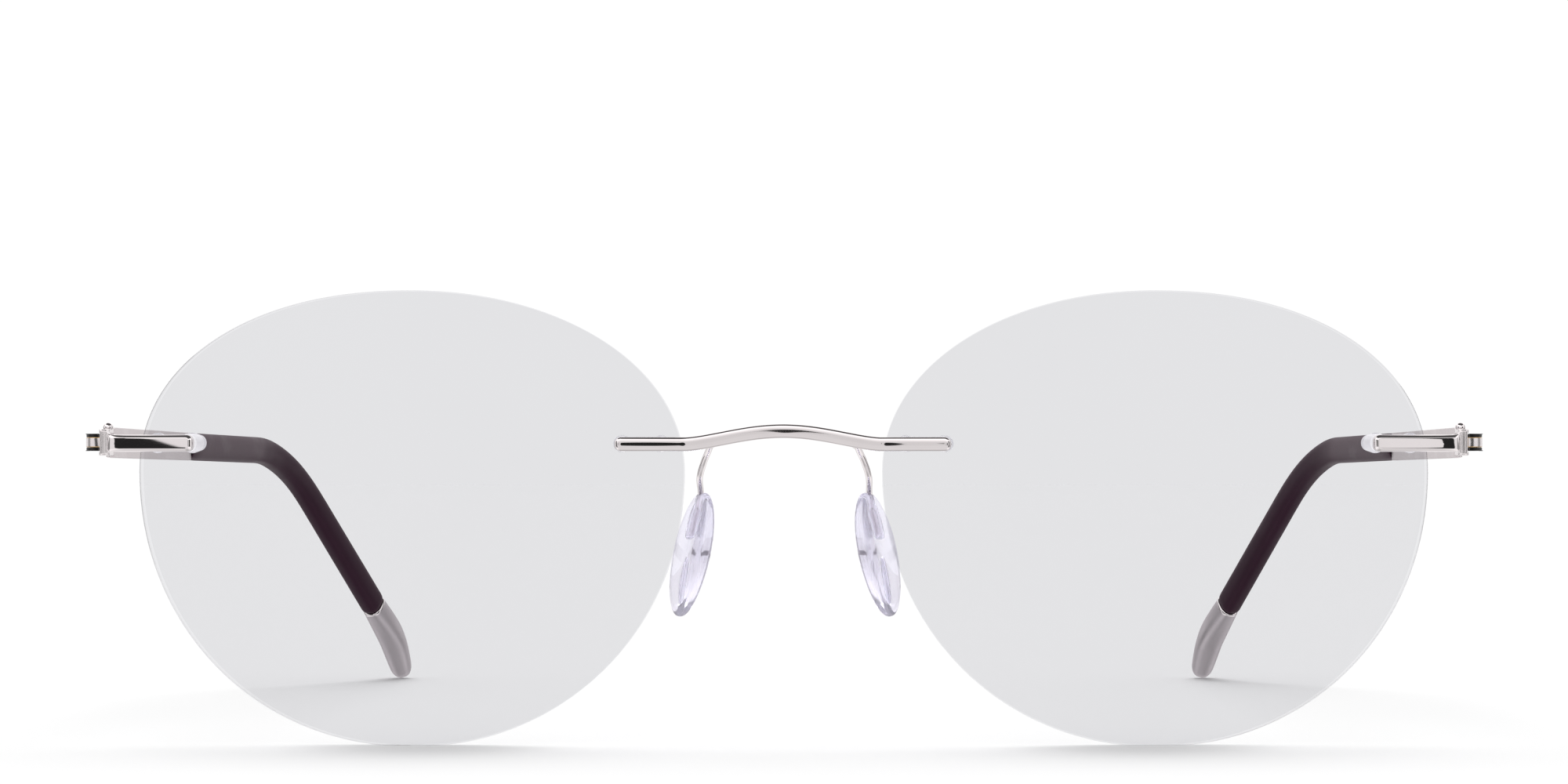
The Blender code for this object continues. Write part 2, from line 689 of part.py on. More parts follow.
def make_pad(side, side_name):
    bm = bmesh.new()
    bmesh.ops.create_uvsphere(bm, u_segments=16, v_segments=10, radius=1.0)
    for v in bm.verts:
        x, y, z = v.co
        half_w = PAD_HALF_W * (1.0 - PAD_NARROWING * z)
        width = signed_power(x, PAD_W_POWER) * half_w
        depth = signed_power(y, PAD_T_POWER) * PAD_HALF_T
        v.co = pad_point(side, width, depth, z * PAD_HALF_L)
    ob = add("nose_pad_" + side_name, bm, SILICONE, pad_point(side))
    cut(ob, "pad_slot_" + side_name, pad_box(side, PAD_SLOT_AT, PAD_SLOT))


def smooth_path(knots, steps):
    """Points on a Catmull-Rom curve through the knots."""
    path = []
    for i in range(len(knots) - 1):
        before, here, there = knots[max(i - 1, 0)], knots[i], knots[i + 1]
        after = knots[min(i + 2, len(knots) - 1)]
        for j in range(steps):
            t = j / steps
            path.append(
                0.5 * (2 * here + (there - before) * t
                       + (2 * before - 5 * here + 4 * there - after) * t * t
                       + (3 * here - before - 3 * there + after) * t ** 3)
            )
    return path + [knots[-1]]


def wire(name, path, radius):
    """A round wire along a path, as a bmesh in millimetres."""
    curve = bpy.data.curves.new(name, "CURVE")
    curve.dimensions = "3D"
    spline = curve.splines.new("POLY")
    spline.points.add(len(path) - 1)
    for point, place in zip(spline.points, path):
        point.co = (*(place * MM), 1.0)
    curve.bevel_depth = radius * MM
    curve.bevel_resolution = 1
    curve.use_fill_caps = True
    guide = bpy.data.objects.new(name, curve)
    body.objects.link(guide)
    bpy.context.view_layer.update()
    evaluated = guide.evaluated_get(bpy.context.evaluated_depsgraph_get())
    bm = bmesh.new()
    bm.from_mesh(bpy.data.meshes.new_from_object(evaluated))
    bpy.data.objects.remove(guide, do_unlink=True)
    bmesh.ops.remove_doubles(bm, verts=bm.verts, dist=1e-6)
    bmesh.ops.scale(bm, verts=bm.verts, vec=(1 / MM, 1 / MM, 1 / MM))
    return bm


def make_arm(side, side_name):
    """A wire off the bridge's back that ends in a paddle inside the pad."""
    back = bridge_centre(side * ARM_KNOTS[0][0])
    start_y = back.y + BRIDGE_D / 2 + ARM_BEHIND
    start_z = back.z - ARM_BELOW
    knots = [Vector((side * x, start_y + y, start_z + z)) for x, y, z in ARM_KNOTS]
    knots += [pad_point(side, width, 0, length) for width, length in ARM_PAD_KNOTS]
    bm = wire("pad_arm_wire_" + side_name, smooth_path(knots, ARM_STEPS), ARM_R)
    ob = add("pad_arm_" + side_name, bm, CHROME, knots[0])
    join(ob, "paddle_" + side_name, pad_box(side, PADDLE_AT, PADDLE, PADDLE_BEVEL))


# ---------------------------------------------------------------- assembly

make_bridge()
for side, side_name in SIDES:
    make_lens(side, side_name)
    for kind in MOUNTS:
        make_plug(side, side_name, kind)
    make_end_piece(side, side_name)
    make_hinge_pin(side, side_name)
    axis = make_temple_axis(side, side_name)
    make_temple(side, side_name, axis)
    make_sleeve(side, side_name, axis)
    make_tip(side, side_name, axis)
    make_pad(side, side_name)
    make_arm(side, side_name)
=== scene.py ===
"""Rimless spectacles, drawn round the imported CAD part.

They stand on the floor at z = 0 and face -y. The temples run back towards +y, and the
wearer's left is +x. A side is 1 for left and -1 for right. Shapes are worked out in
millimetres and become metres only when a mesh is made.
"""

import json
import math

import bmesh
import bpy
from mathutils import Matrix, Vector


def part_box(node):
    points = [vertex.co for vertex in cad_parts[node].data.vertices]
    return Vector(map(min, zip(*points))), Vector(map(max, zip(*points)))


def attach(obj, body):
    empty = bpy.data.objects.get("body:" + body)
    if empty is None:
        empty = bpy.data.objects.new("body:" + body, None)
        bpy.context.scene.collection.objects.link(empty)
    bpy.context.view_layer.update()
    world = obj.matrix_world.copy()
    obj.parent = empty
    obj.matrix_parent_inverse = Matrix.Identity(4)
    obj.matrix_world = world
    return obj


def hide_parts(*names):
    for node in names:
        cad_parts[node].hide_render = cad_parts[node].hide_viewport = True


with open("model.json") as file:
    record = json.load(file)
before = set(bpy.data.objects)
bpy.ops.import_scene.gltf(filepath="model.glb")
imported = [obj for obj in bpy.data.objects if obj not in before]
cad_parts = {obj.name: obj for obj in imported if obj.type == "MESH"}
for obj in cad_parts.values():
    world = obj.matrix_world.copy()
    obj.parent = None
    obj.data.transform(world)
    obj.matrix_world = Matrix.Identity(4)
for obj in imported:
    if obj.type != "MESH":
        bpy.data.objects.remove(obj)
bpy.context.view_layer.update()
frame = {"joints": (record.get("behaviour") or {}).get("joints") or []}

MM = 0.001
UP = Vector((0.0, 0.0, 1.0))
BACK = Vector((0.0, 1.0, 0.0))
WORD = {1: "left", -1: "right"}

JOINTS = {joint["name"]: joint for joint in frame["joints"]}
HINGE = {side: Vector(JOINTS[f"fold_{word}"]["pos_m"]) / MM for side, word in WORD.items()}
HINGE_X, HINGE_Y, HINGE_Z = HINGE[1]
BRIDGE_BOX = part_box("bridge")

# Lenses: a sphere's face, tilted, with a superellipse quadrant at each corner
LENS_X, LENS_Y, LENS_Z = 36.196, HINGE_Y - 7.2, 26.674
LENS_HALF_W, LENS_TOP, LENS_BOTTOM, LENS_LEAN = 26.62, 17.646, 26.80, 0.012
LENS_POWERS = {(1, 1): 2.160, (1, -1): 2.065, (-1, 1): 2.065, (-1, -1): 2.050}  # (outer, upper)
LENS_RADIUS, LENS_THICK, LENS_BEVEL = 132.0, 2.0, 0.07
PANTO, WRAP = math.tan(math.radians(7.0)), math.tan(math.radians(3.0))

# Pairs of pins through each lens: middle of the pair, and half their spacing
END_MOUNT_X, END_PIN_HALF, END_Z = 60.0, 1.80, 29.60
BRIDGE_MOUNT_X, BRIDGE_PIN_HALF, BRIDGE_Z = 13.5, 1.90, 29.50
PIN_R, PIN_SOFT, PIN_FRONT, PIN_REACH = 0.28, 0.07, 0.7, 2.35
HOLE_R = 0.75
FACE_GAP = 0.20  # between metal and lens

BRIDGE_END = ((BRIDGE_BOX[1] - BRIDGE_BOX[0]) / MM).x / 2
BRIDGE_FLAT, BRIDGE_RISE, BRIDGE_SHOULDER = 9.4, 1.26, 0.72
BRIDGE_H, BRIDGE_D = 1.36, 1.10
BRIDGE_STRAIGHT = 10.0  # seen from above, the flats run this far in

# End pieces: a bar, then a fork whose ears hold the hinge
BAR_IN, BAR_OUT, BAR_CORNER, BAR_ROLL = 57.05, 65.62, 66.0, 63.75
BAR_H, BAR_D = 1.66, 1.00
FORK_HALF_W, FORK_HALF_H, SLOT_HALF_H, SLOT_DEPTH = 0.52, 1.30, 0.88, 2.25

# Temples: places along the length s from the hinge
STRIP_HALF_T, STRIP_HALF_H = 0.35, 1.50
CORE_HALF_T, CORE_HALF_H, CORE_START, CORE_END = 0.28, 0.85, 52.0, 133.6
SLEEVE_START, SLEEVE_END = 45.2, 128.0
TIP_START, TEMPLE_END = SLEEVE_END + 0.3, 141.05
TIP_ROUND = 1.9  # length of the rounded end
BEND_START, BEND_R, BEND_ANGLE, TEMPLE_SLOPE = 93.0, 20.0, math.radians(45.0), 0.004
BOW_FROM, BOW_TO, TAIL_FROM = 90.0, 100.0, 134.0
STRAIGHT_RATE, BOW_RATE, TAIL_RATE = 0.012, 0.325, 0.12  # inward run per length
BOW_STEP, BOW_STEPS = 0.1, 1500
EASE_FROM, EASE_REACH = 70.0, 3.2
SLEEVE_COUNT, SLEEVE_POWER = 56, 2.7

PAD_CENTRE = (9.22, LENS_Y + 10.5, 18.72)
PAD_SPLAY, PAD_LEAN = math.radians(27.0), 0.25
PAD_HALF_W, PAD_HALF_T, PAD_UPPER, PAD_LOWER = 3.45, 1.02, 6.20, 6.35
ARM_R, ARM_X = 0.33, 7.0


# ------------------------------------------------------------------ node shorthand


class Socket:
    """A node output that can be added, multiplied and compared like a number."""

    tree = None

    def __init__(self, source):
        self.source = source

    @staticmethod
    def math(operation, *values, clamp=False):
        n = node("ShaderNodeMath", _operation=operation, _use_clamp=clamp)
        for value, socket in zip(values, n.inputs):
            link(value, socket)
        return Socket(n.outputs[0])

    def __add__(self, other):
        return Socket.math("ADD", self, other)

    __radd__ = __add__

    def __sub__(self, other):
        return Socket.math("SUBTRACT", self, other)

    def __rsub__(self, other):
        return Socket.math("SUBTRACT", other, self)

    def __mul__(self, other):
        return Socket.math("MULTIPLY", self, other)

    __rmul__ = __mul__

    def __truediv__(self, other):
        return Socket.math("DIVIDE", self, other)

    def abs(self):
        return Socket.math("ABSOLUTE", self)

    def pow(self, other):
        return Socket.math("POWER", self, other)

    def clamp(self):
        return Socket.math("ADD", self, 0.0, clamp=True)


def link(value, socket):
    """Feeds a socket from an output or a value; a colour of three gets its alpha."""
    if isinstance(value, Socket):
        Socket.tree.links.new(value.source, socket)
    elif isinstance(value, (tuple, list)):
        missing = len(socket.default_value) - len(value)
        socket.default_value = (*value, *(1.0,) * missing)
    else:
        socket.default_value = value


def node(kind, **values):
    """A node. Names with a leading _ are its properties, the others its inputs."""
    n = Socket.tree.nodes.new(kind)
    for name, value in values.items():
        if name.startswith("_"):
            setattr(n, name[1:], value)
        else:
            link(value, n.inputs[name.replace("_", " ")])
    return n


def output(kind, which=0, **values):
    return Socket(node(kind, **values).outputs[which])


def start_tree(tree):
    Socket.tree = tree
    tree.nodes.clear()


def step(x, edge, soft):
    """0 below edge, 1 above it, smooth over soft."""
    return output("ShaderNodeMapRange", "Result", _interpolation_type="SMOOTHSTEP", Value=x,
                  From_Min=edge - soft / 2, From_Max=edge + soft / 2)


def band(x, start, end, soft):
    return step(x, start, soft) * (1.0 - step(x, end, soft))


def mix(a, b, share):
    """a where share is 0 and b where it is 1; a and b are numbers or sockets."""
    return share * b + (1.0 - share) * a


def coords(stretch=(1.0, 1.0, 1.0)):
    """Object coordinates in millimetres, stretched."""
    return output("ShaderNodeMapping", "Vector", Vector=output("ShaderNodeTexCoord", "Object"),
                  Scale=[1000.0 * s for s in stretch])


def split(vector):
    return [Socket(o) for o in node("ShaderNodeSeparateXYZ", Vector=vector).outputs]


def noise(scale, detail=3.0, stretch=(1.0, 1.0, 1.0)):
    return output("ShaderNodeTexNoise", "Fac", Vector=coords(stretch), Scale=scale,
                  Detail=detail, Roughness=0.55)


def tint(dark, light, share):
    n = node("ShaderNodeMix", _data_type="RGBA", Factor=share)
    link(dark, n.inputs[6])
    link(light, n.inputs[7])
    return Socket(n.outputs[2])


def bump(height, strength, depth_mm):
    return output("ShaderNodeBump", "Normal", Height=height, Strength=strength,
                  Distance=depth_mm * MM)


def combine(channels):
    n = node("ShaderNodeCombineColor")
    for channel, socket in zip(channels, n.inputs):
        link(channel, socket)
    return Socket(n.outputs[0])


def principled(**values):
    return output("ShaderNodeBsdfPrincipled", "BSDF", **values)


def transparent(colour):
    return output("ShaderNodeBsdfTransparent", Color=colour)


def mix_shader(a, b, share):
    n = node("ShaderNodeMixShader", Fac=share)
    link(a, n.inputs[1])
    link(b, n.inputs[2])
    return Socket(n.outputs[0])


def material(name, build):
    mat = bpy.data.materials.new(name)
    mat.use_nodes = True
    start_tree(mat.node_tree)
    out = node("ShaderNodeOutputMaterial")
    link(build(), out.inputs["Surface"])
    return mat


# ------------------------------------------------------------------ materials
# Noise scales are cycles per millimetre. Roughness is a ground value plus a share of
# each pattern.


def build_polished():
    scratch = noise(scale=0.55, detail=2, stretch=(1.0, 1.0, 14.0))
    smudge = noise(scale=0.35)
    grain = noise(scale=9.0, detail=2)
    return principled(
        Base_Color=tint(dark=(0.83, 0.785, 0.79), light=(0.90, 0.86, 0.865), share=smudge),
        Metallic=1.0,
        Roughness=0.018 + 0.05 * smudge * scratch + 0.015 * grain,
        Normal=bump(grain * 0.5 + scratch * 0.5, strength=0.020, depth_mm=0.006),
    )


def build_tumbled():
    """Bright but not mirror-flat: the small hinge faces."""
    smudge = noise(scale=0.5)
    grain = noise(scale=12.0)
    return principled(
        Base_Color=tint(dark=(0.84, 0.795, 0.80), light=(0.92, 0.88, 0.885), share=smudge),
        Metallic=1.0,
        Roughness=0.17 + 0.09 * grain,
        Normal=bump(grain, strength=0.10, depth_mm=0.01),
    )


def brushed(dark, light, brush_scale, stretch, wear_scale, wear_edge, roughness, wear_shine,
            strength):
    """Metal brushed along y, smoother by wear_shine where it is worn."""
    def build():
        brush = noise(scale=brush_scale, detail=4, stretch=stretch)
        fine = noise(scale=14.0, detail=2)
        wear = step(noise(scale=wear_scale), edge=wear_edge, soft=0.16)
        return principled(
            Base_Color=tint(dark, light, brush),
            Metallic=1.0,
            Roughness=roughness + 0.14 * brush - wear_shine * wear,
            Normal=bump(brush * 0.7 + fine * 0.3, strength=strength, depth_mm=0.02),
        )
    return build


# painted darkness: near black, standing in for the dark seen on the tongue's top and bottom; the
# lighter patches are wear
def build_painted_dark():
    grain = noise(scale=11.0)
    wear = step(noise(scale=1.3), edge=0.62, soft=0.12)
    return principled(
        Base_Color=tint(dark=(0.005, 0.0045, 0.0045), light=(0.022, 0.019, 0.018), share=wear),
        Metallic=0.0,
        Roughness=0.30 + 0.12 * grain,
        Specular_IOR_Level=0.25,
        Normal=bump(grain, strength=0.15, depth_mm=0.01),
    )


def build_gold():
    grain = noise(scale=10.0, detail=2)
    return principled(
        Base_Color=tint(dark=(0.62, 0.40, 0.18), light=(0.80, 0.58, 0.32), share=grain),
        Metallic=1.0,
        Roughness=0.18 + 0.1 * grain,
        Normal=bump(grain, strength=0.1, depth_mm=0.01),
    )


def build_plum():
    cloud = noise(scale=0.11)
    grain = noise(scale=7.0, detail=4)
    rub = step(noise(scale=0.16, detail=4, stretch=(1.0, 0.5, 1.0)), edge=0.60, soft=0.14)
    return principled(
        Base_Color=tint(dark=(0.022, 0.0048, 0.0150), light=(0.031, 0.0085, 0.0215), share=cloud),
        Roughness=0.44 + 0.10 * grain - 0.07 * rub,
        Specular_IOR_Level=0.20,
        Specular_Tint=(1.0, 0.76, 0.85),
        Sheen_Weight=0.10,
        Sheen_Roughness=0.35,
        Sheen_Tint=(0.95, 0.72, 0.80),
        Normal=bump(grain, strength=0.30, depth_mm=0.03),
    )


def clear(body_share, rim_share, painted_glow=0.0):
    """Clear plastic: see-through, with a share of solid body that grows at the rim, and an
    optional painted glow.
    """
    def build():
        cloud = noise(scale=0.8)
        fine = noise(scale=8.0, detail=2)
        seen = transparent(tint(dark=(0.955, 0.95, 0.965), light=(0.985, 0.985, 0.99),
                                share=cloud))
        body = principled(
            Base_Color=tint(dark=(0.945, 0.93, 0.955), light=(0.99, 0.98, 0.995), share=cloud),
            Roughness=0.12 + 0.06 * fine,
            Specular_IOR_Level=0.28,
            Emission_Color=(0.96, 0.94, 1.0),
            Emission_Strength=painted_glow,  # painted glow, standing in for light piped through the plastic
            Normal=bump(cloud * 0.7 + fine * 0.1, strength=0.03, depth_mm=0.02),
        )
        edge = output("ShaderNodeLayerWeight", "Facing", Blend=0.35)
        return mix_shader(seen, body, (body_share + rim_share * edge).clamp())
    return build


def build_silicone():
    cloud = noise(scale=0.30)
    fine = noise(scale=3.0)
    normal = bump(cloud * 0.6 + fine * 0.10, strength=0.12, depth_mm=0.08)
    glass = output(
        "ShaderNodeBsdfGlass", IOR=1.41, Roughness=0.006 + 0.02 * fine, Normal=normal,
        Color=tint(dark=(0.925, 0.92, 0.985), light=(0.985, 0.975, 1.0), share=cloud),
    )
    haze = principled(
        Base_Color=tint(dark=(0.80, 0.79, 0.93), light=(0.90, 0.88, 0.95), share=cloud),
        Roughness=0.30 + 0.1 * fine,
        Normal=normal,
    )
    seen = transparent((0.955, 0.95, 0.99))
    shadow = output("ShaderNodeLightPath", "Is Shadow Ray")
    soft = mix_shader(glass, haze, share=0.05 + 0.05 * cloud)
    thin = mix_shader(soft, seen, share=0.10)
    return mix_shader(thin, seen, share=shadow * 0.8)  # most light passes the pad


def lens(tone, gloss, held):
    """Lens of a tone; gloss scales its rim shine, held is its deepest shadow colour, used in a
    painted shadow patch.
    """
    def build():
        shadow = output("ShaderNodeLightPath", "Is Shadow Ray")
        dust = step(noise(scale=2.4), edge=0.80, soft=0.05)
        film = noise(scale=0.05)
        colour = tint([c * 0.992 for c in tone], tone, film)
        # painted shadow: for shadow rays only, the lens is made dark low down in its middle, so a
        # drop shadow gathers on the floor there
        across, _, up = split(coords())
        off_middle = (across.abs() - 35.0).abs()
        middle = 1.0 - step(off_middle, edge=9.0, soft=16.0)
        painted_shadow_patch = middle * (1.0 - step(up, edge=27.0, soft=16.0))
        painted_shadow_tone = tint((0.95, 0.95, 0.955), (held, held, held * 1.01), painted_shadow_patch)
        seen = transparent(tint(colour, painted_shadow_tone, shadow))
        shine = output(
            "ShaderNodeBsdfGlossy", Color=(1.0, 1.0, 1.0),
            Roughness=0.015 + 0.05 * film + 0.2 * dust,
            Normal=bump(film + 0.2 * dust, strength=0.02, depth_mm=0.05),
        )
        # the same from both sides of a face, so nothing rings inside the lens
        rim = output("ShaderNodeLayerWeight", "Facing", Blend=0.5).pow(5.0)
        return mix_shader(seen, shine, (rim * gloss + dust * 0.004) * (1.0 - shadow))
    return build


POLISHED = material("polished_metal_look", build_polished)
TUMBLED = material("tumbled_metal_look", build_tumbled)
TIP = material("tip_metal_look", brushed(
    dark=(0.58, 0.54, 0.565), light=(0.74, 0.695, 0.72), brush_scale=1.8,
    stretch=(8.0, 0.5, 8.0), wear_scale=0.30, wear_edge=0.60, roughness=0.40,
    wear_shine=0.08, strength=0.25))
SATIN = material("satin_titanium_look", brushed(
    dark=(0.60, 0.552, 0.562), light=(0.79, 0.735, 0.745), brush_scale=1.6,
    stretch=(9.0, 0.35, 9.0), wear_scale=0.22, wear_edge=0.58, roughness=0.30,
    wear_shine=0.07, strength=0.22))
PAINTED_DARK = material("painted_dark_look", build_painted_dark)
GOLD = material("warm_edge_look", build_gold)
PLUM = material("plum_sleeve_look", build_plum)
CLEAR = material("clear_plastic_look", clear(body_share=0.10, rim_share=0.08))
# the end caps carry a painted glow
CAP = material("clear_plastic_thick_painted_glow_look", clear(body_share=0.78, rim_share=0.18, painted_glow=0.15))
SILICONE = material("clear_silicone_look", build_silicone)
LENS_BODY = material("lens_look", lens(tone=(0.868, 0.868, 0.877), gloss=0.80, held=0.45))
LENS_EDGE = material("lens_edge_look", lens(tone=(0.935, 0.935, 0.943), gloss=0.45, held=0.80))


# ------------------------------------------------------------------ mesh helpers
# A part is (points in mm, faces, material number). Shape functions return lists of parts.


def add_object(name, data):
    ob = bpy.data.objects.new(name, data)
    bpy.context.scene.collection.objects.link(ob)
    return ob


def in_metres(points):
    return [tuple(Vector(p) * MM) for p in points]


def tidy(mesh, merge):
    """Turns the faces outwards, after merging equal points if asked."""
    bm = bmesh.new()
    bm.from_mesh(mesh)
    if merge:
        bmesh.ops.remove_doubles(bm, verts=bm.verts, dist=1e-8)
    bmesh.ops.recalc_face_normals(bm, faces=bm.faces)
    bm.to_mesh(mesh)
    bm.free()


def piece(name, parts, mats, body, cad_node, sharp=35.0):
    """One visible piece, in place of a CAD node; edges over sharp degrees stay crisp."""
    verts, faces, index = [], [], []
    for points, part_faces, mat in parts:
        base = len(verts)
        verts.extend(in_metres(points))
        faces.extend([base + i for i in face] for face in part_faces)
        index.extend([mat] * len(part_faces))
    mesh = bpy.data.meshes.new(name)
    mesh.from_pydata(verts, [], faces)
    for mat in mats:
        mesh.materials.append(mat)
    mesh.polygons.foreach_set("material_index", index)
    tidy(mesh, merge=True)
    mesh.shade_smooth()
    mesh.set_sharp_from_angle(angle=math.radians(sharp))
    ob = add_object(name, mesh)
    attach(ob, body)
    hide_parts(cad_node)
    return ob


def cut(ob, cutters):
    """Takes each cutter part out of ob for good."""
    made = []
    for i, (points, faces, _) in enumerate(cutters):
        mesh = bpy.data.meshes.new(f"{ob.name}_cut{i}")
        mesh.from_pydata(in_metres(points), [], faces)
        tidy(mesh, merge=False)
        mesh.materials.append(ob.data.materials[-1])
        cutter = add_object(mesh.name, mesh)
        mod = ob.modifiers.new("cut", "BOOLEAN")
        mod.operation, mod.solver, mod.object = "DIFFERENCE", "EXACT", cutter
        mod.material_mode = "TRANSFER"
        made.append(cutter)
    bpy.context.view_layer.update()
    graph = bpy.context.evaluated_depsgraph_get()
    new = bpy.data.meshes.new_from_object(
        ob.evaluated_get(graph), preserve_all_data_layers=True, depsgraph=graph)
    ob.modifiers.clear()
    ob.data = new
    new.shade_smooth()
    new.set_sharp_from_angle(angle=math.radians(35.0))
    for cutter in made:
        bpy.data.objects.remove(cutter, do_unlink=True)


def clamp01(x):
    return min(1.0, max(0.0, x))


def signed_power(x, power):
    return math.copysign(abs(x) ** power, x)


def lookup(table, place):
    """Value of a table at a fractional place."""
    i = min(int(place), len(table) - 2)
    return table[i] + (table[i + 1] - table[i]) * (place - i)


def lengths(start, end, cell):
    n = max(2, int(round((end - start) / cell)))
    return [start + (end - start) * i / n for i in range(n + 1)]


def loft(rings, caps=(True, True), mat=0, mats=None):
    """Parts through closed rings of equal length. mats gives a material per ring point."""
    n = len(rings[0])
    points = [p for ring in rings for p in ring]
    faces = {}
    for k in range(len(rings) - 1):
        for i in range(n):
            j = (i + 1) % n
            quad = (k * n + i, k * n + j, (k + 1) * n + j, (k + 1) * n + i)
            faces.setdefault(mats[i] if mats else mat, []).append(quad)
    if caps[0]:
        faces.setdefault(mat, []).append(tuple(range(n)))
    if caps[1]:
        faces.setdefault(mat, []).append(tuple((len(rings) - 1) * n + i for i in range(n)))
    return [(points, group, number) for number, group in faces.items()]


def circle(centre, a, b, radius, count):
    """Ring round centre in the plane of the unit vectors a and b."""
    turns = [2 * math.pi * k / count for k in range(count)]
    return [centre + (a * math.cos(t) + b * math.sin(t)) * radius for t in turns]


def wire(points, radii, count):
    """A round wire with a radius per point."""
    side = (points[1] - points[0]).normalized().orthogonal().normalized()
    rings = []
    for i, p in enumerate(points):
        before, after = points[max(i - 1, 0)], points[min(i + 1, len(points) - 1)]
        t = (after - before).normalized()
        side = (side - t * side.dot(t)).normalized()
        rings.append(circle(p, side, t.cross(side), radii[i], count))
    return loft(rings)


def lathe(start, axis, profile, count=40, mat=0):
    """Turned part: profile is (radius, distance along axis)."""
    axis = axis.normalized()
    a = axis.orthogonal().normalized()
    b = axis.cross(a)
    return loft([circle(start + axis * d, a, b, max(r, 1e-3), count) for r, d in profile], mat=mat)


def rounded_rod(start, end, radius, soft):
    length = (end - start).length
    profile = [(radius - soft, 0.0)]
    for i in range(1, 5):
        a = math.pi / 2 * i / 4
        profile.append((radius - soft + soft * math.sin(a), soft - soft * math.cos(a)))
    profile += [(r, length - d) for r, d in reversed(profile)]
    return lathe(start, end - start, profile, count=32)


def rounded_rect(half_w, half_h, radius, per_corner):
    """(x, y) points of a rectangle with round corners, centred on 0."""
    points = []
    for x, y, a0 in ((1, -1, -math.pi / 2), (1, 1, 0.0), (-1, 1, math.pi / 2), (-1, -1, math.pi)):
        for i in range(per_corner):
            a = a0 + math.pi / 2 * i / (per_corner - 1)
            points.append((x * (half_w - radius) + radius * math.cos(a),
                           y * (half_h - radius) + radius * math.sin(a)))
    return points


CORNER_STEPS, SHORT_STEPS = 8, 4


def plate_outline(ends, half_h, radii, inset, cell):
    """(s, z) points of a rounded rectangle, the same number at each inset."""
    long_steps = max(4, int((ends[1] - ends[0]) / cell))
    s0, s1 = ends[0] + inset, ends[1] - inset
    h = max(half_h - inset, 0.004)
    r_in, r_out = [min(max(r - inset, 0.003), h * 0.999, (s1 - s0) / 2 * 0.999) for r in radii]
    points = []

    def arc(s, z, r, a0):
        for i in range(CORNER_STEPS + 1):
            a = a0 + math.pi / 2 * i / CORNER_STEPS
            points.append((s + r * math.cos(a), z + r * math.sin(a)))

    def line(p, q, n):
        for i in range(1, n):
            t = i / n
            points.append((p[0] + (q[0] - p[0]) * t, p[1] + (q[1] - p[1]) * t))

    arc(s1 - r_out, -h + r_out, r_out, -math.pi / 2)
    line((s1, -h + r_out), (s1, h - r_out), SHORT_STEPS)
    arc(s1 - r_out, h - r_out, r_out, 0.0)
    line((s1 - r_out, h), (s0 + r_in, h), long_steps)
    arc(s0 + r_in, h - r_in, r_in, math.pi / 2)
    line((s0, h - r_in), (s0, -h + r_in), SHORT_STEPS)
    arc(s0 + r_in, -h + r_in, r_in, math.pi)
    line((s0 + r_in, -h), (s1 - r_out, -h), long_steps)
    return points


def slab(origin, axes, ends, half_h, radii, profile, bulge=None, mat=0, cell=0.35):
    """A plate with shaped edges.

    axes are its (length, height, depth) directions, ends its (start, end) along the
    length with the corner radii there, and profile is (inset, distance along depth).
    bulge(s, z, depth) is added to the depth.
    """
    along, up, depth = axes
    rings = []
    for inset, d in profile:
        ring = []
        for s, z in plate_outline(ends, half_h, radii, inset, cell):
            extra = bulge(s, z, d) if bulge else 0.0
            ring.append(origin + along * s + up * z + depth * (d + extra))
        rings.append(ring)
    parts = loft(rings, caps=(False, False), mat=mat)
    # the two flat faces, as strips of quads across from a point on the far short side
    n = len(rings[0])
    c, half = CORNER_STEPS + SHORT_STEPS - 1, n // 2
    faces = [(c % n, (c + 1) % n, (c - 1) % n)]
    faces += [((c + i) % n, (c + i + 1) % n, (c - i - 1) % n, (c - i) % n)
              for i in range(1, half - 1)]
    faces.append(((c + half - 1) % n, (c + half) % n, (c - half + 1) % n))
    return parts + [(rings[0], faces, mat), (rings[-1], faces, mat)]


def superellipse(centre, across, up, half_t, half_h, power, count):
    ring = []
    for i in range(count):
        a = 2 * math.pi * (i + 0.5) / count
        x = signed_power(math.cos(a), 2 / power) * half_t
        z = signed_power(math.sin(a), 2 / power) * half_h
        ring.append(centre + across * x + up * z)
    return ring


def soft_box(centre, half, radius, mat, steps=5):
    """A box with round edges."""
    def ring(z, inset):
        outline = rounded_rect(half.x - inset, half.y - inset, max(radius - inset, 0.002),
                               steps + 1)
        return [Vector((centre.x + x, centre.y + y, z)) for x, y in outline]

    bottom, top = centre.z - half.z, centre.z + half.z
    rings = [ring(bottom, radius)]
    for i in range(1, steps + 1):
        a = math.pi / 2 * i / steps
        rings.append(ring(bottom + radius * (1 - math.cos(a)), radius * (1 - math.sin(a))))
    for i in range(steps + 1):
        a = math.pi / 2 * (1 - i / steps)
        rings.append(ring(top - radius * (1 - math.cos(a)), radius * (1 - math.sin(a))))
    return loft(rings, mat=mat)


def spline(knots, steps):
    """Catmull-Rom curve through the knots."""
    path = []
    for i in range(len(knots) - 1):
        a, b, c = knots[max(i - 1, 0)], knots[i], knots[i + 1]
        d = knots[min(i + 2, len(knots) - 1)]
        for j in range(steps):
            t = j / steps
            path.append(0.5 * (2 * b + (c - a) * t + (2 * a - 5 * b + 4 * c - d) * t * t
                               + (3 * b - a - 3 * c + d) * t**3))
    path.append(knots[-1])
    return path


# ------------------------------------------------------------------ lens shape and mounts


def lens_face(x, z):
    """y of the lens front on the left side."""
    u, v = x - LENS_X, z - LENS_Z
    return LENS_Y + (u * u + v * v) / (2 * LENS_RADIUS) + u * WRAP - v * PANTO


def lens_outline(angle):
    c, s = math.cos(angle), math.sin(angle)
    power = LENS_POWERS[(1 if c >= 0 else -1, 1 if s >= 0 else -1)]
    u = signed_power(c, 2 / power) * LENS_HALF_W
    v = signed_power(s, 2 / power) * (LENS_TOP if s >= 0 else LENS_BOTTOM)
    return u - LENS_LEAN * v, v


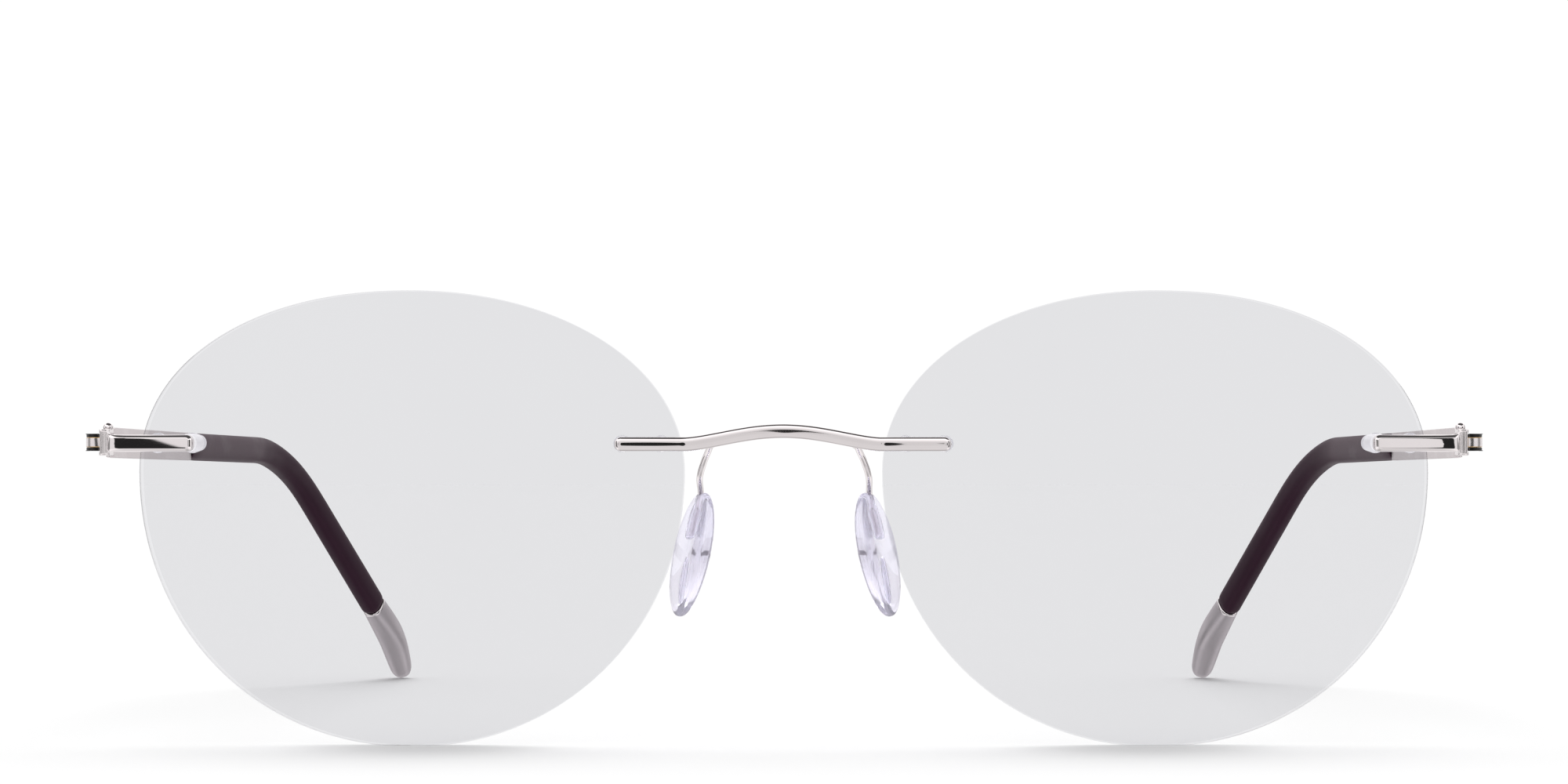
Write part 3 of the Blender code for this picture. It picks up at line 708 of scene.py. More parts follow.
def slope_turn(mount_x, side, z):
    """Level directions outwards along the lens face and back into it."""
    d = 0.5
    rise = (lens_face(mount_x + d, z) - lens_face(mount_x - d, z)) / (2 * d)
    return Vector((side, rise, 0.0)).normalized(), Vector((-side * rise, 1.0, 0.0)).normalized()


def mounts(side):
    """(kind, middle, along, into, places of the two pins) of a lens's two mounts."""
    for kind, x, z, half in (
        ("end", END_MOUNT_X, END_Z, END_PIN_HALF),
        ("bridge", BRIDGE_MOUNT_X, BRIDGE_Z, BRIDGE_PIN_HALF),
    ):
        along, into = slope_turn(x, side, z)
        at = Vector((side * x, lens_face(x, z), z))
        yield kind, at, along, into, [at + along * half * k for k in (-1, 1)]


def pin_parts(side, wanted):
    parts = []
    for kind, _, _, into, pins in mounts(side):
        if kind == wanted:
            for p in pins:
                parts += rounded_rod(p - into * PIN_FRONT, p + into * PIN_REACH, PIN_R, PIN_SOFT)
    return parts


def make_lens(side):
    spokes, fills = 288, 14
    bevel, thick = LENS_BEVEL, LENS_THICK

    def ring(inset, depth, scale=1.0):
        floor_z = inset * 0.4 if scale == 1.0 else 0.0
        points = []
        for i in range(spokes):
            u, v = lens_outline(2 * math.pi * i / spokes)
            r = math.hypot(u, v)
            k = (r - inset) / r * scale
            x, z = LENS_X + u * k, max(LENS_Z + v * k, floor_z)
            points.append(Vector((side * x, lens_face(x, z) + depth, z)))
        return points

    parts = []
    for depth in (0.0, thick):
        rings = [ring(bevel, depth, i / fills) for i in range(1, fills + 1)]
        parts += loft(rings, caps=(False, False))
        hub = Vector((side * LENS_X, lens_face(LENS_X, LENS_Z) + depth, LENS_Z))
        fan = [(0, 1 + i, 1 + (i + 1) % spokes) for i in range(spokes)]
        parts.append(([hub] + rings[0], fan, 0))
    edge = [  # (inset, depth behind the front face)
        (bevel, 0.0), (bevel * 0.35, bevel * 0.35), (0.0, bevel * 1.1), (0.0, thick / 2),
        (0.0, thick - bevel * 1.1), (bevel * 0.35, thick - bevel * 0.35), (bevel, thick)]
    parts += loft([ring(inset, depth) for inset, depth in edge], caps=(False, False), mat=1)
    ob = piece(f"lens_{WORD[side]}_drilled", parts, [LENS_BODY, LENS_EDGE], "front",
               f"lens_{WORD[side]}", sharp=25.0)
    holes = []
    for _, _, _, into, pins in mounts(side):
        for p in pins:
            holes += lathe(p - into * 1.5, into, [(HOLE_R, 0.0), (HOLE_R, 6.0)])
    cut(ob, holes)


def make_plug(side, kind, at, along, into, pins):
    """Clear plate behind the lens, with a tube and a domed head round each pin."""
    is_end = kind == "end"
    back = LENS_THICK * into.y + FACE_GAP * 0.2
    ends = (-3.2, 2.65) if is_end else (-2.75, 2.75)
    plate = 0.60
    r = 0.80 if is_end else 0.70
    less = 0.0 if is_end else 0.15  # the bridge plugs' heads are smaller
    raised = UP * 0.05
    profile = [  # (inset, depth)
        (0.16, 0.0), (0.05, 0.04), (0.0, 0.14), (0.0, plate - 0.2), (0.06, plate - 0.08),
        (0.18, plate - 0.01), (0.34, plate), (0.55, plate + 0.01)]
    parts = slab(at + into * back + raised, (along, UP, into), ends, r, (r, r), profile)
    if is_end:  # the rounded cap past the bar's inner end
        cap = at + along * (ends[0] + 0.95) + raised
        parts += lathe(cap - into * 0.55, into, [
            (0.02, 0.0), (0.38, 0.03), (0.62, 0.12), (0.80, 0.30), (0.87, 0.50),
            (0.87, back + 0.75)])
    tube = [(0.43, 0.0), (0.58, 0.0), (0.62, 0.06), (0.62, back), (0.43, back)]
    head = [
        (0.92 - less, 0.0), (0.99 - less, 0.05), (1.00 - less, 0.30), (0.96 - less, 0.62),
        (0.86 - less, plate + 0.17), (0.72 - less, plate + 0.25), (0.50, plate + 0.27),
        (0.40, plate + 0.20), (0.36, plate + 0.02)]
    for p in pins:
        parts += lathe(p + into * 0.05, into, tube, count=32)
        parts += lathe(p + into * back + raised, into, head)
    piece(f"{kind}_plug_{WORD[side]}_clear", parts, [CAP if is_end else CLEAR], "front",
          f"{kind}_plug_{WORD[side]}")


# ------------------------------------------------------------------ bridge


def inner_depths():
    """Depth of the bridge inside its flats, from the middle out, ending at 0."""
    n = 200
    along, _ = slope_turn(BRIDGE_MOUNT_X, 1, BRIDGE_Z)
    edge_slope = along.y / along.x + (BRIDGE_STRAIGHT - BRIDGE_MOUNT_X) / LENS_RADIUS
    depths = [0.0]
    for i in range(n, 0, -1):
        r = (i - 0.5) / n * BRIDGE_STRAIGHT
        t = clamp01((BRIDGE_STRAIGHT - r) / 0.8)
        flatter = 1.0 - 0.66 * (t * t * (3 - 2 * t))
        slope = edge_slope * flatter * min(1.0, r / 8.6)
        depths.append(depths[-1] - slope * BRIDGE_STRAIGHT / n)
    return depths[::-1]


INNER_DEPTHS = inner_depths()


def bridge_centre(x):
    r = abs(x)
    along, into = slope_turn(BRIDGE_MOUNT_X, 1, BRIDGE_Z)
    at = Vector((BRIDGE_MOUNT_X, lens_face(BRIDGE_MOUNT_X, BRIDGE_Z), BRIDGE_Z))
    at -= into * (FACE_GAP + BRIDGE_D / 2)
    run = max(r, BRIDGE_STRAIGHT) - at.x
    y = at.y + run * (along.y / along.x) + run**2 / (2 * LENS_RADIUS)
    if r < BRIDGE_STRAIGHT:
        y += lookup(INNER_DEPTHS, r / BRIDGE_STRAIGHT * (len(INNER_DEPTHS) - 1))
    wave = 0.5 * (1 + math.cos(math.pi * min(r, BRIDGE_FLAT) / BRIDGE_FLAT))
    return Vector((x, y, BRIDGE_Z + BRIDGE_RISE * wave**BRIDGE_SHOULDER))


def bar_section(half_h, half_d, corner, arch_radius):
    """(depth, height) round a bar: an arched front, round corners, a flatter back."""
    flat = half_h - corner
    lean = math.asin(flat / arch_radius)
    sag = arch_radius - math.sqrt(arch_radius * arch_radius - flat * flat)

    def front_corner(i):
        a = lean + (math.pi / 2 - lean) * i / 9
        rise = (math.sin(a) - math.sin(lean)) / (1 - math.sin(lean))
        return -half_d + sag + corner * (math.cos(lean) - math.cos(a)), flat + corner * rise

    points = []
    for i in range(13):  # the front, from bottom to top
        z = -flat + 2 * flat * i / 12
        points.append((-half_d + (arch_radius - math.sqrt(arch_radius * arch_radius - z * z)), z))
    points += [front_corner(i) for i in range(1, 10)]
    for i in range(1, 8):  # top back corner
        a = math.pi / 2 * i / 7
        points.append((half_d - corner + corner * math.sin(a),
                       half_h - corner * (1 - math.cos(a))))
    points += [(half_d, flat - 2 * flat * i / 4) for i in range(1, 4)]
    for i in range(8):  # bottom back corner
        a = math.pi / 2 * i / 7
        points.append((half_d - corner + corner * math.cos(a), -flat - corner * math.sin(a)))
    for i in range(8, 0, -1):
        depth, z = front_corner(i)
        points.append((depth, -z))
    return points


def make_bridge():
    section = bar_section(BRIDGE_H / 2, BRIDGE_D / 2, corner=0.27, arch_radius=1.9)
    round_end, end_steps = 0.66, 12
    ending = []  # (x, share of the way out through the rounded end)
    for i in range(end_steps):
        t = math.cos(math.pi / 2 * i / end_steps) if i else 0.995
        ending.append((-BRIDGE_END + round_end * (1 - t), t))
    inner = BRIDGE_END - round_end
    stations = ending + [(x, 0.0) for x in lengths(-inner, inner, 0.2)]
    stations += [(-x, t) for x, t in reversed(ending)]
    rings = []
    for x, t in stations:
        d = 0.05
        tangent = (bridge_centre(x + d) - bridge_centre(x - d)).normalized()
        back = UP.cross(tangent).normalized()
        up = tangent.cross(back)
        height = math.sqrt(1 - t * t)
        depth = 0.35 + 0.65 * math.sqrt(1 - t**3)
        centre = bridge_centre(x)
        rings.append([centre + back * (p * depth) + up * (q * height) for p, q in section])
    parts = loft(rings) + pin_parts(1, "bridge") + pin_parts(-1, "bridge")
    piece("bridge_bar", parts, [POLISHED], "front", "bridge", sharp=40.0)


# ------------------------------------------------------------------ end pieces

ROOT = [  # (x, half height, inset in y) from the bar's outer end to the fork's outside
    (64.9, 0.55, 0.25), (64.95, 0.66, 0.16), (65.1, 0.74, 0.08), (65.3, 0.785, 0.03),
    (65.55, 0.80, 0.0), (65.72, 0.83, 0.0), (65.82, 0.92, -0.01), (65.89, 1.06, -0.03),
    (65.96, 1.18, -0.05), (66.05, 1.245, -0.06), (66.16, 1.27, -0.06), (66.40, 1.27, -0.06),
    (66.50, 1.25, -0.045), (66.57, 1.20, -0.01), (66.62, 1.12, 0.05), (66.65, 1.0, 0.13),
    (66.66, 0.8, 0.25)]
BAR_BACK = [  # (inset, distance in front of the bar's back)
    (0.30, 0.0), (0.20, 0.01), (0.08, 0.06), (0.01, 0.16), (0.0, 0.30)]
BAR_FRONT = [  # (inset, distance behind the bar's front)
    (0.0, 0.42), (0.012, 0.33), (0.05, 0.25), (0.105, 0.175), (0.155, 0.115), (0.200, 0.070),
    (0.235, 0.040), (0.262, 0.022), (0.285, 0.012), (0.31, 0.004), (0.37, 0.0), (0.46, 0.0),
    (0.57, 0.0), (0.68, 0.0), (0.77, 0.0)]


def end_bar(at, along, into):
    """The bar in front of the lens, arched both ways and rolled back at its outer end."""
    start, end, roll = [(x - END_MOUNT_X) / abs(along.x) for x in (BAR_IN, BAR_OUT, BAR_ROLL)]
    half_d = BAR_D / 2
    profile = [(inset, half_d - d) for inset, d in BAR_BACK] + [(0.0, 0.0)]
    profile += [(inset, -half_d + d) for inset, d in BAR_FRONT]
    arch_start, arch_length, arch_radius, height_radius, roll_radius = 0.43, 0.4, 150.0, 11.0, 6.5

    def bulge(s, z, d):
        if d > -half_d + arch_start:
            return 0.0
        share = clamp01((-half_d + arch_start - d) / arch_length)
        rolled = max(0.0, s - roll + 0.12 * z)
        return share * ((s - (start + end) / 2) ** 2 / (2 * arch_radius)
                        + z * z / (2 * height_radius) - 0.045 + rolled**2 / (2 * roll_radius))

    return slab(at, (along, UP, into), (start, end), BAR_H / 2, (0.62, 0.3), profile, bulge,
                cell=0.12)


def fork_parts(side, corner_y):
    """Tumbled fork behind the bar: a root, two ears and a collar under the pin's head."""
    hinge = HINGE[side]
    slot_front = hinge.y - SLOT_DEPTH
    y_mid, y_half = (corner_y + slot_front) / 2, (slot_front - corner_y) / 2
    rings = []
    for x, half_h, inset in ROOT:
        outline = rounded_rect(y_half - inset, half_h, 0.22, per_corner=8)
        rings.append([Vector((side * x, y_mid + y, hinge.z + z)) for y, z in outline])
    parts = loft(rings, mat=1)
    ear_z = (FORK_HALF_H + SLOT_HALF_H) / 2
    ear_h = (FORK_HALF_H - SLOT_HALF_H) / 2
    profile = [  # (inset, height)
        (0.10, -ear_h), (0.03, -ear_h + 0.03), (0.0, -ear_h + 0.1), (0.0, ear_h - 0.1),
        (0.03, ear_h - 0.03), (0.10, ear_h)]
    for k in (1, -1):
        start = Vector((hinge.x, corner_y + 1.18, hinge.z + k * ear_z))
        length = hinge.y - start.y + FORK_HALF_W
        parts += slab(start, (BACK, Vector((1.0, 0.0, 0.0)), UP), (0.0, length), FORK_HALF_W,
                      (0.12, FORK_HALF_W * 0.995), profile, mat=1)
    parts += lathe(Vector((hinge.x, hinge.y, hinge.z + FORK_HALF_H - 0.06)), UP, [
        (0.30, 0.0), (0.50, 0.0), (0.52, 0.03), (0.50, 0.09), (0.44, 0.115), (0.30, 0.115)],
        count=36, mat=1)
    return parts


def make_end_piece(side):
    along, into = slope_turn(END_MOUNT_X, side, END_Z)
    at = Vector((side * END_MOUNT_X, lens_face(END_MOUNT_X, END_Z), END_Z))
    at -= into * (FACE_GAP + BAR_D / 2)
    corner = at + along * ((BAR_CORNER - END_MOUNT_X) / abs(along.x))
    parts = end_bar(at, along, into) + fork_parts(side, corner.y) + pin_parts(side, "end")
    piece(f"end_piece_{WORD[side]}_polished", parts, [POLISHED, TUMBLED], "front",
          f"end_piece_{WORD[side]}", sharp=32.0)


def make_hinge_pin(side):
    base, foot = FORK_HALF_H + 0.06, -FORK_HALF_H
    profile = [  # domed head, then the shaft
        (0.001, base + 0.62), (0.12, base + 0.605), (0.24, base + 0.56), (0.35, base + 0.48),
        (0.43, base + 0.38), (0.485, base + 0.26), (0.51, base + 0.13), (0.51, base + 0.04),
        (0.48, base), (0.21, base), (0.21, foot - 0.08), (0.19, foot - 0.14),
        (0.14, foot - 0.18), (0.001, foot - 0.18)]
    piece(f"hinge_pin_{WORD[side]}_domed", lathe(HINGE[side], UP, profile, count=48), [POLISHED],
          "front", f"hinge_pin_{WORD[side]}", sharp=40.0)


# ------------------------------------------------------------------ temple line


def bow_table():
    """How far in the temple has run, at each BOW_STEP of its length."""
    table = [0.0]
    for i in range(1, BOW_STEPS + 1):
        s = (i - 0.5) * BOW_STEP
        grow = clamp01((s - BOW_FROM) / (BOW_TO - BOW_FROM))
        rate = STRAIGHT_RATE + (BOW_RATE - STRAIGHT_RATE) * grow
        table.append(table[-1] + (TAIL_RATE if s > TAIL_FROM else rate) * BOW_STEP)
    return table


BOW_TABLE = bow_table()


def cad_temple_point(s, side):
    """The CAD's temple line: straight, bent down round an arc, straight again."""
    slope = math.atan(TEMPLE_SLOPE)
    arc = BEND_R * (BEND_ANGLE - slope)
    y, z = min(s, BEND_START), -TEMPLE_SLOPE * min(s, BEND_START)
    if s > BEND_START:
        a = slope + min(s - BEND_START, arc) / BEND_R
        y += BEND_R * (math.sin(a) - math.sin(slope))
        z -= BEND_R * (math.cos(slope) - math.cos(a))
    if s > BEND_START + arc:
        y += (s - BEND_START - arc) * math.cos(BEND_ANGLE)
        z -= (s - BEND_START - arc) * math.sin(BEND_ANGLE)
    bow = lookup(BOW_TABLE, max(0.0, s) / BOW_STEP)
    return Vector((side * (HINGE_X - bow), HINGE_Y + y, HINGE_Z + z))


def temple_point(s, side):
    """The CAD's temple line, with its changes of curvature eased."""
    if s < EASE_FROM:
        return cad_temple_point(s, side)
    reach = EASE_REACH * min(1.0, (s - EASE_FROM) / 10.0) * clamp01((TEMPLE_END - s) / 4.0)
    if reach < 0.05:
        return cad_temple_point(s, side)
    total, weight = Vector((0.0, 0.0, 0.0)), 0.0
    for i in range(-6, 7):
        w = 1.0 - abs(i) / 7.0
        total += cad_temple_point(s + reach * i / 6.0, side) * w
        weight += w
    return total / weight


def temple_frame(s, side):
    """Directions along, across and up at a place on the temple."""
    reach = 0.6
    t = (temple_point(s + reach, side) - temple_point(s - reach, side)).normalized()
    across = t.cross(UP).normalized()
    return t, across, across.cross(t).normalized()


def temple_ring(s, side, half_t, half_h, power=SLEEVE_POWER):
    _, across, up = temple_frame(s, side)
    return superellipse(temple_point(s, side), across, up, half_t, half_h, power, SLEEVE_COUNT)


# ------------------------------------------------------------------ temples

STRIP_START = [  # (s, share of full height) where the strip leaves the hinge
    (0.95, 0.70), (0.99, 0.80), (1.07, 0.88), (1.2, 0.93), (1.45, 0.97), (1.8, 0.995), (2.3, 1.0)]
SHOULDER = SLEEVE_START - 0.3
IN_TUMBLED, IN_PAINTED_DARK, IN_GOLD = 1, 2, 3  # material numbers in the temple piece
TONGUE_Z = 0.02


def strip_parts(side):
    """Flat strip with softened edges, narrowing to a core inside the sleeve."""
    def strip(s, half_t, half_h, soft=0.10):
        _, across, up = temple_frame(s, side)
        p = temple_point(s, side)
        outline = rounded_rect(half_t, half_h, soft, per_corner=6)
        return [p + across * x + up * z for x, z in outline]

    rings = []
    for s, share in STRIP_START:
        thin = 0.8 + 0.2 * min(1, (s - STRIP_START[0][0]) / 0.2)
        rings.append(strip(s, STRIP_HALF_T * thin, STRIP_HALF_H * share))
    rings += [strip(s, STRIP_HALF_T, STRIP_HALF_H) for s in lengths(3.0, SHOULDER, 1.5)]
    rings += [strip(SHOULDER + 0.15, 0.33, 1.2), strip(SHOULDER + 0.35, CORE_HALF_T, CORE_HALF_H)]
    for s in lengths(CORE_START, CORE_END, 1.5):
        rings.append(strip(s, CORE_HALF_T, CORE_HALF_H, soft=0.08))
    return loft(rings)


def knuckle_parts(side):
    """Grooved barrel round the hinge pin, and the block that joins it to the strip."""
    h = HINGE[side]
    barrel = [
        (0.30, 0.0), (0.46, 0.0), (0.52, 0.06), (0.52, 0.62), (0.47, 0.66), (0.47, 0.74),
        (0.52, 0.78), (0.52, 1.34), (0.46, 1.40), (0.30, 1.40)]
    parts = lathe(Vector((h.x, h.y, h.z - 0.70)), UP, barrel, mat=IN_TUMBLED)
    return parts + soft_box(Vector((h.x, h.y + 0.95, h.z)), Vector((0.31, 0.5, 0.68)),
                            radius=0.06, mat=IN_TUMBLED)


def tongue_ring(side, angle, z_mid, half_t, half_h, grow, soft):
    """Section of the tongue at an angle round its ellipse, seen from above."""
    h = HINGE[side]
    radius_x, radius_y = 1.62 + grow, 1.95 + grow
    if half_h > 0.3:  # waisted at its outermost point
        half_h *= 1.0 - 0.16 * math.exp(-((angle / 0.30) ** 2))
    centre = Vector((h.x + side * (0.42 + radius_x * math.cos(angle)),
                     h.y + 0.45 + radius_y * math.sin(angle), h.z + z_mid))
    out = Vector((side * math.cos(angle) / radius_x, math.sin(angle) / radius_y, 0)).normalized()
    return [centre + out * x + UP * z
            for x, z in rounded_rect(half_t, half_h, soft, per_corner=5)]


def tongue_parts(side):
    """The bowed tongue: a bright strip with warm edges between two near-black ones of painted
    darkness.
    """
    start, sweep, steps = math.radians(104.0), math.radians(190.0), 44

    def course(z_mid, half_t, half_h, grow, soft, trim=(0.0, 1.0), **look):
        angles = [start - sweep * (trim[0] + (trim[1] - trim[0]) * i / steps)
                  for i in range(steps + 1)]
        return loft([tongue_ring(side, a, z_mid, half_t, half_h, grow, soft) for a in angles],
                    **look)

    # the two broad faces are bright, everything round them warm
    bright = [IN_TUMBLED]
    faces = [IN_GOLD] * 4 + bright + [IN_GOLD] * 9 + bright + [IN_GOLD] * 5
    parts = course(TONGUE_Z, half_t=0.19, half_h=0.50, grow=0.0, soft=0.085,
                   mat=IN_GOLD, mats=faces)
    lip = ((-14.0, 0.10, 0.03, 0.08), (0.0, 0.14, 0.035, 0.12), (14.0, 0.10, 0.03, 0.08))
    for k in (1, -1):
        # the near-black courses above and below are painted darkness
        parts += course(TONGUE_Z + k * 0.675, half_t=0.175, half_h=0.165, grow=-0.02, soft=0.03,
                        trim=(0.03, 0.97), mat=IN_PAINTED_DARK)
        # pointed lips at the outer turn: (degrees, half thickness, half height, growth)
        parts += loft([
            tongue_ring(side, math.radians(a), TONGUE_Z + k * 0.82, half_t, half_h, grow, 0.01)
            for a, half_t, half_h, grow in lip], mat=IN_PAINTED_DARK)
    return parts


def make_temple(side):
    parts = strip_parts(side) + knuckle_parts(side) + tongue_parts(side)
    piece(f"temple_{WORD[side]}_strip", parts, [SATIN, TUMBLED, PAINTED_DARK, GOLD],
          f"temple_body_{WORD[side]}", f"temple_{WORD[side]}", sharp=38.0)


SLEEVE_NOSE = [  # (distance from the sleeve's start, share of full size)
    (0.0, 0.50), (0.03, 0.55), (0.10, 0.60), (0.22, 0.645), (0.45, 0.70), (0.8, 0.765),
    (1.3, 0.84), (1.9, 0.905), (2.6, 0.955), (3.4, 0.985)]
SLEEVE_TAIL = [  # (distance from the sleeve's end, share of full size)
    (-0.45, 0.995), (-0.2, 0.97), (-0.05, 0.93), (0.05, 0.88), (0.10, 0.80)]


def sleeve_size(s):
    """Half thickness and half height of the sleeve."""
    t = (s - SLEEVE_START) / (SLEEVE_END - SLEEVE_START)
    return 0.98 + 0.27 * t, 1.50 + 0.12 * t


def make_sleeve(side):
    def inner(s):
        return temple_ring(s, side, 0.40, 1.10, power=5.0)

    rings = [inner(SLEEVE_START + 1.2), inner(SLEEVE_START + 0.1)]
    for ds, k in SLEEVE_NOSE:
        t, h = sleeve_size(SLEEVE_START + ds)
        rings.append(temple_ring(SLEEVE_START + ds, side, t * k, h * (0.70 + 0.30 * k)))
    for s in lengths(SLEEVE_START + 4.4, SLEEVE_END - 0.8, 0.8):
        rings.append(temple_ring(s, side, *sleeve_size(s)))
    t, h = sleeve_size(SLEEVE_END)
    rings += [temple_ring(SLEEVE_END + ds, side, t * k, h * k) for ds, k in SLEEVE_TAIL]
    rings += [inner(SLEEVE_END + 0.08), inner(SLEEVE_END - 1.0)]
    piece(f"temple_sleeve_{WORD[side]}_soft", loft(rings, caps=(False, False)), [PLUM],
          f"temple_body_{WORD[side]}", f"temple_sleeve_{WORD[side]}", sharp=50.0)


def make_tip(side):
    """Satin tip, with a polished ring where it meets the sleeve."""
    round_from = TEMPLE_END - TIP_ROUND
    # (s, share of the way through the rounded end, size)
    stations = [(TIP_START + ds, 0.0, size) for ds, size in (
        (-0.12, 0.90), (-0.05, 0.97), (0.08, 1.02), (0.24, 1.0))]
    stations += [(s, 0.0, 1.0) for s in lengths(TIP_START + 0.7, round_from, 0.6)]
    stations += [(round_from + TIP_ROUND * t, t, 1.0)
                 for t in (0.2, 0.4, 0.55, 0.68, 0.78, 0.86, 0.92, 0.96, 0.985, 0.998)]
    rings = []
    for s, t, size in stations:
        grow = clamp01((s - TIP_START) / 6.0)
        scale = math.sqrt(1 - t * t) * size
        axis, across, up = temple_frame(s, side)
        roll = Matrix.Rotation(side * math.radians(20.0) * grow, 3, axis)
        belly = math.sin(math.pi * clamp01((s - TIP_START) / (TEMPLE_END - TIP_START)))
        rings.append(superellipse(
            temple_point(s, side), roll @ across, roll @ up, (1.22 + 0.42 * belly) * scale,
            (1.58 + 0.20 * grow) * scale, SLEEVE_POWER, SLEEVE_COUNT))
    parts = loft(rings[:4], mat=1, caps=(True, False)) + loft(rings[3:], caps=(False, True))
    piece(f"temple_tip_{WORD[side]}_satin", parts, [TIP, POLISHED], f"temple_body_{WORD[side]}",
          f"temple_tip_{WORD[side]}", sharp=50.0)


# ------------------------------------------------------------------ nose pads

POCKET = [  # (place up the pad, half width, half thickness), open at the top
    (1.30, 0.25, 0.10), (1.36, 0.55, 0.20), (1.52, 0.80, 0.29), (1.85, 0.94, 0.34),
    (2.4, 0.98, 0.36), (3.7, 0.98, 0.36), (4.3, 0.86, 0.38), (4.8, 0.62, 0.41),
    (5.3, 0.46, 0.43), (7.5, 0.46, 0.44)]


def pad_frame(side):
    """Directions across the pad, out of its inward face, and up its length."""
    wide = Vector((math.sin(PAD_SPLAY), math.cos(PAD_SPLAY), 0.0))
    long = Vector((-PAD_LEAN, 0.0, 1.0)).normalized()
    long = (long - wide * long.dot(wide)).normalized()
    face = -wide.cross(long)
    flip = Vector((side, 1.0, 1.0))
    return wide * flip, face * flip, long * flip


def pad_point(side, across, out, up):
    wide, face, long = pad_frame(side)
    at = Vector((side * PAD_CENTRE[0], PAD_CENTRE[1], PAD_CENTRE[2]))
    return at + wide * across + face * out + long * up


def pad_body(side):
    rings_n, count = 40, 56
    rings = []
    for i in range(rings_n + 1):
        q = -math.pi / 2 + math.pi * i / rings_n
        q = max(-math.pi / 2 + 0.02, min(math.pi / 2 - 0.02, q))
        height, r = math.sin(q), math.cos(q)
        up = height * (PAD_UPPER if height > 0 else PAD_LOWER)
        fuller = 1.0 + 0.03 * height - 0.12 * height * height
        ring = []
        for j in range(count):
            a = 2 * math.pi * j / count
            x, y = math.cos(a) * r, math.sin(a) * r
            across = signed_power(x, 0.92) * PAD_HALF_W * fuller
            out = signed_power(math.sin(a), 0.66) * PAD_HALF_T * r**0.74
            crown = 1 if y > 0 else -0.6  # the inward face swells, the other sinks
            out += 0.10 * (1 - (up / PAD_LOWER) ** 2) * crown * (1 - abs(x)) * abs(y)
            ring.append(pad_point(side, across, out, up))
        rings.append(ring)
    return loft(rings)


def pocket_ring(side, up, half_w, half_t):
    points = []
    for j in range(28):
        a = 2 * math.pi * (j + 0.5) / 28
        points.append(pad_point(side, signed_power(math.cos(a), 0.5) * half_w,
                                signed_power(math.sin(a), 0.6) * half_t, up))
    return points


def hollow_parts(side):
    """The hollow inside the pad below the pocket."""
    shift = pad_frame(side)[0] * (-0.35)
    rings = []
    for i in range(15):
        q = -math.pi / 2 + math.pi * (i + 0.15) / 14.3
        k = math.cos(q) ** 0.8
        ring = pocket_ring(side, -2.75 + 2.35 * math.sin(q), 0.52 * k, 0.24 * k)
        rings.append([p + shift for p in ring])
    return loft(rings)


def make_pad(side):
    ob = piece(f"nose_pad_{WORD[side]}_silicone", pad_body(side), [SILICONE], "front",
               f"nose_pad_{WORD[side]}", sharp=60.0)
    pocket = loft([pocket_ring(side, *station) for station in POCKET])
    cut(ob, pocket + hollow_parts(side))
    ob.data.set_sharp_from_angle(angle=math.radians(50.0))


def grip_ridge(centre, wide, face, long):
    count = 10
    rings = []
    for across, k in ((-0.66, 0.4), (-0.58, 1.0), (0.58, 1.0), (0.66, 0.4)):
        turns = [2 * math.pi * i / count for i in range(count)]
        rings.append([centre + wide * across + long * (0.10 * math.cos(t)) * k
                      + face * (0.22 * math.sin(t)) * k for t in turns])
    return loft(rings)


def make_arm(side):
    """Wire from the bridge's back to the pad, with a plate in the pad's pocket."""
    bar = bridge_centre(side * ARM_X)
    start = Vector((side * ARM_X, bar.y + BRIDGE_D / 2 + 0.12, bar.z - 0.18))
    knots = [start + Vector((0, -0.42, 0.0)), start + Vector((side * 0.02, 0.3, -0.01))]
    for x, dy, dz in (  # x, then distances from the start
        (7.08, 2.0, 0.15), (7.40, 3.9, 0.85), (7.85, 5.2, 1.85), (8.32, 6.6, 3.4),
    ):
        knots.append(Vector((side * x, start.y + dy, start.z - dz)))
    knots += [pad_point(side, 0.25, 0, 6.2) + Vector((side * 0.22, 0, 0)),
              pad_point(side, 0, 0, 4.4)]
    path = spline(knots, steps=14)
    # flared where it meets the bridge
    radii = [ARM_R + 0.24 * math.exp(-(((p - knots[0]).length / 0.42) ** 2)) for p in path]
    parts = wire(path, radii, count=22)
    wide, face, long = pad_frame(side)
    at = pad_point(side, 0, 0, 2.7)
    profile = [(0.12, -0.18), (0.03, -0.15), (0.0, -0.08), (0.0, 0.08), (0.03, 0.15), (0.12, 0.18)]
    parts += slab(at, (long, wide, face), (-1.15, 1.7), 0.72, (0.30, 0.30), profile)
    for up in (-0.75, -0.2, 0.35):  # ridges that grip the silicone
        parts += grip_ridge(at + long * up, wide, face, long)
    piece(f"pad_arm_{WORD[side]}_wire", parts, [POLISHED], "front", f"pad_arm_{WORD[side]}",
          sharp=40.0)


# ------------------------------------------------------------------ build

make_bridge()
for side in (-1, 1):
    make_lens(side)
    for mount in mounts(side):
        make_plug(side, *mount)
    for make in (make_end_piece, make_hinge_pin, make_temple, make_sleeve, make_tip,
                 make_pad, make_arm):
        make(side)


# ------------------------------------------------------------------ floor, light and camera


def build_paper():
    cloud = noise(scale=0.012)
    fine = noise(scale=0.6)
    return output(
        "ShaderNodeBsdfDiffuse",
        Color=tint(dark=(0.9290, 0.9290, 0.9290), light=(0.9310, 0.9310, 0.9310), share=cloud),
        Roughness=0.02 * fine,
        Normal=bump(fine, strength=0.01, depth_mm=0.02),
    )


def make_floor():
    half, z = 6.0, -0.00003  # metres; just under the lenses
    mesh = bpy.data.meshes.new("floor")
    corners = [(-half, -half, z), (half, -half, z), (half, half, z), (-half, half, z)]
    mesh.from_pydata(corners, [], [(0, 1, 2, 3)])
    mesh.materials.append(material("paper_floor", build_paper))
    floor = add_object("floor", mesh)
    floor.visible_glossy = False


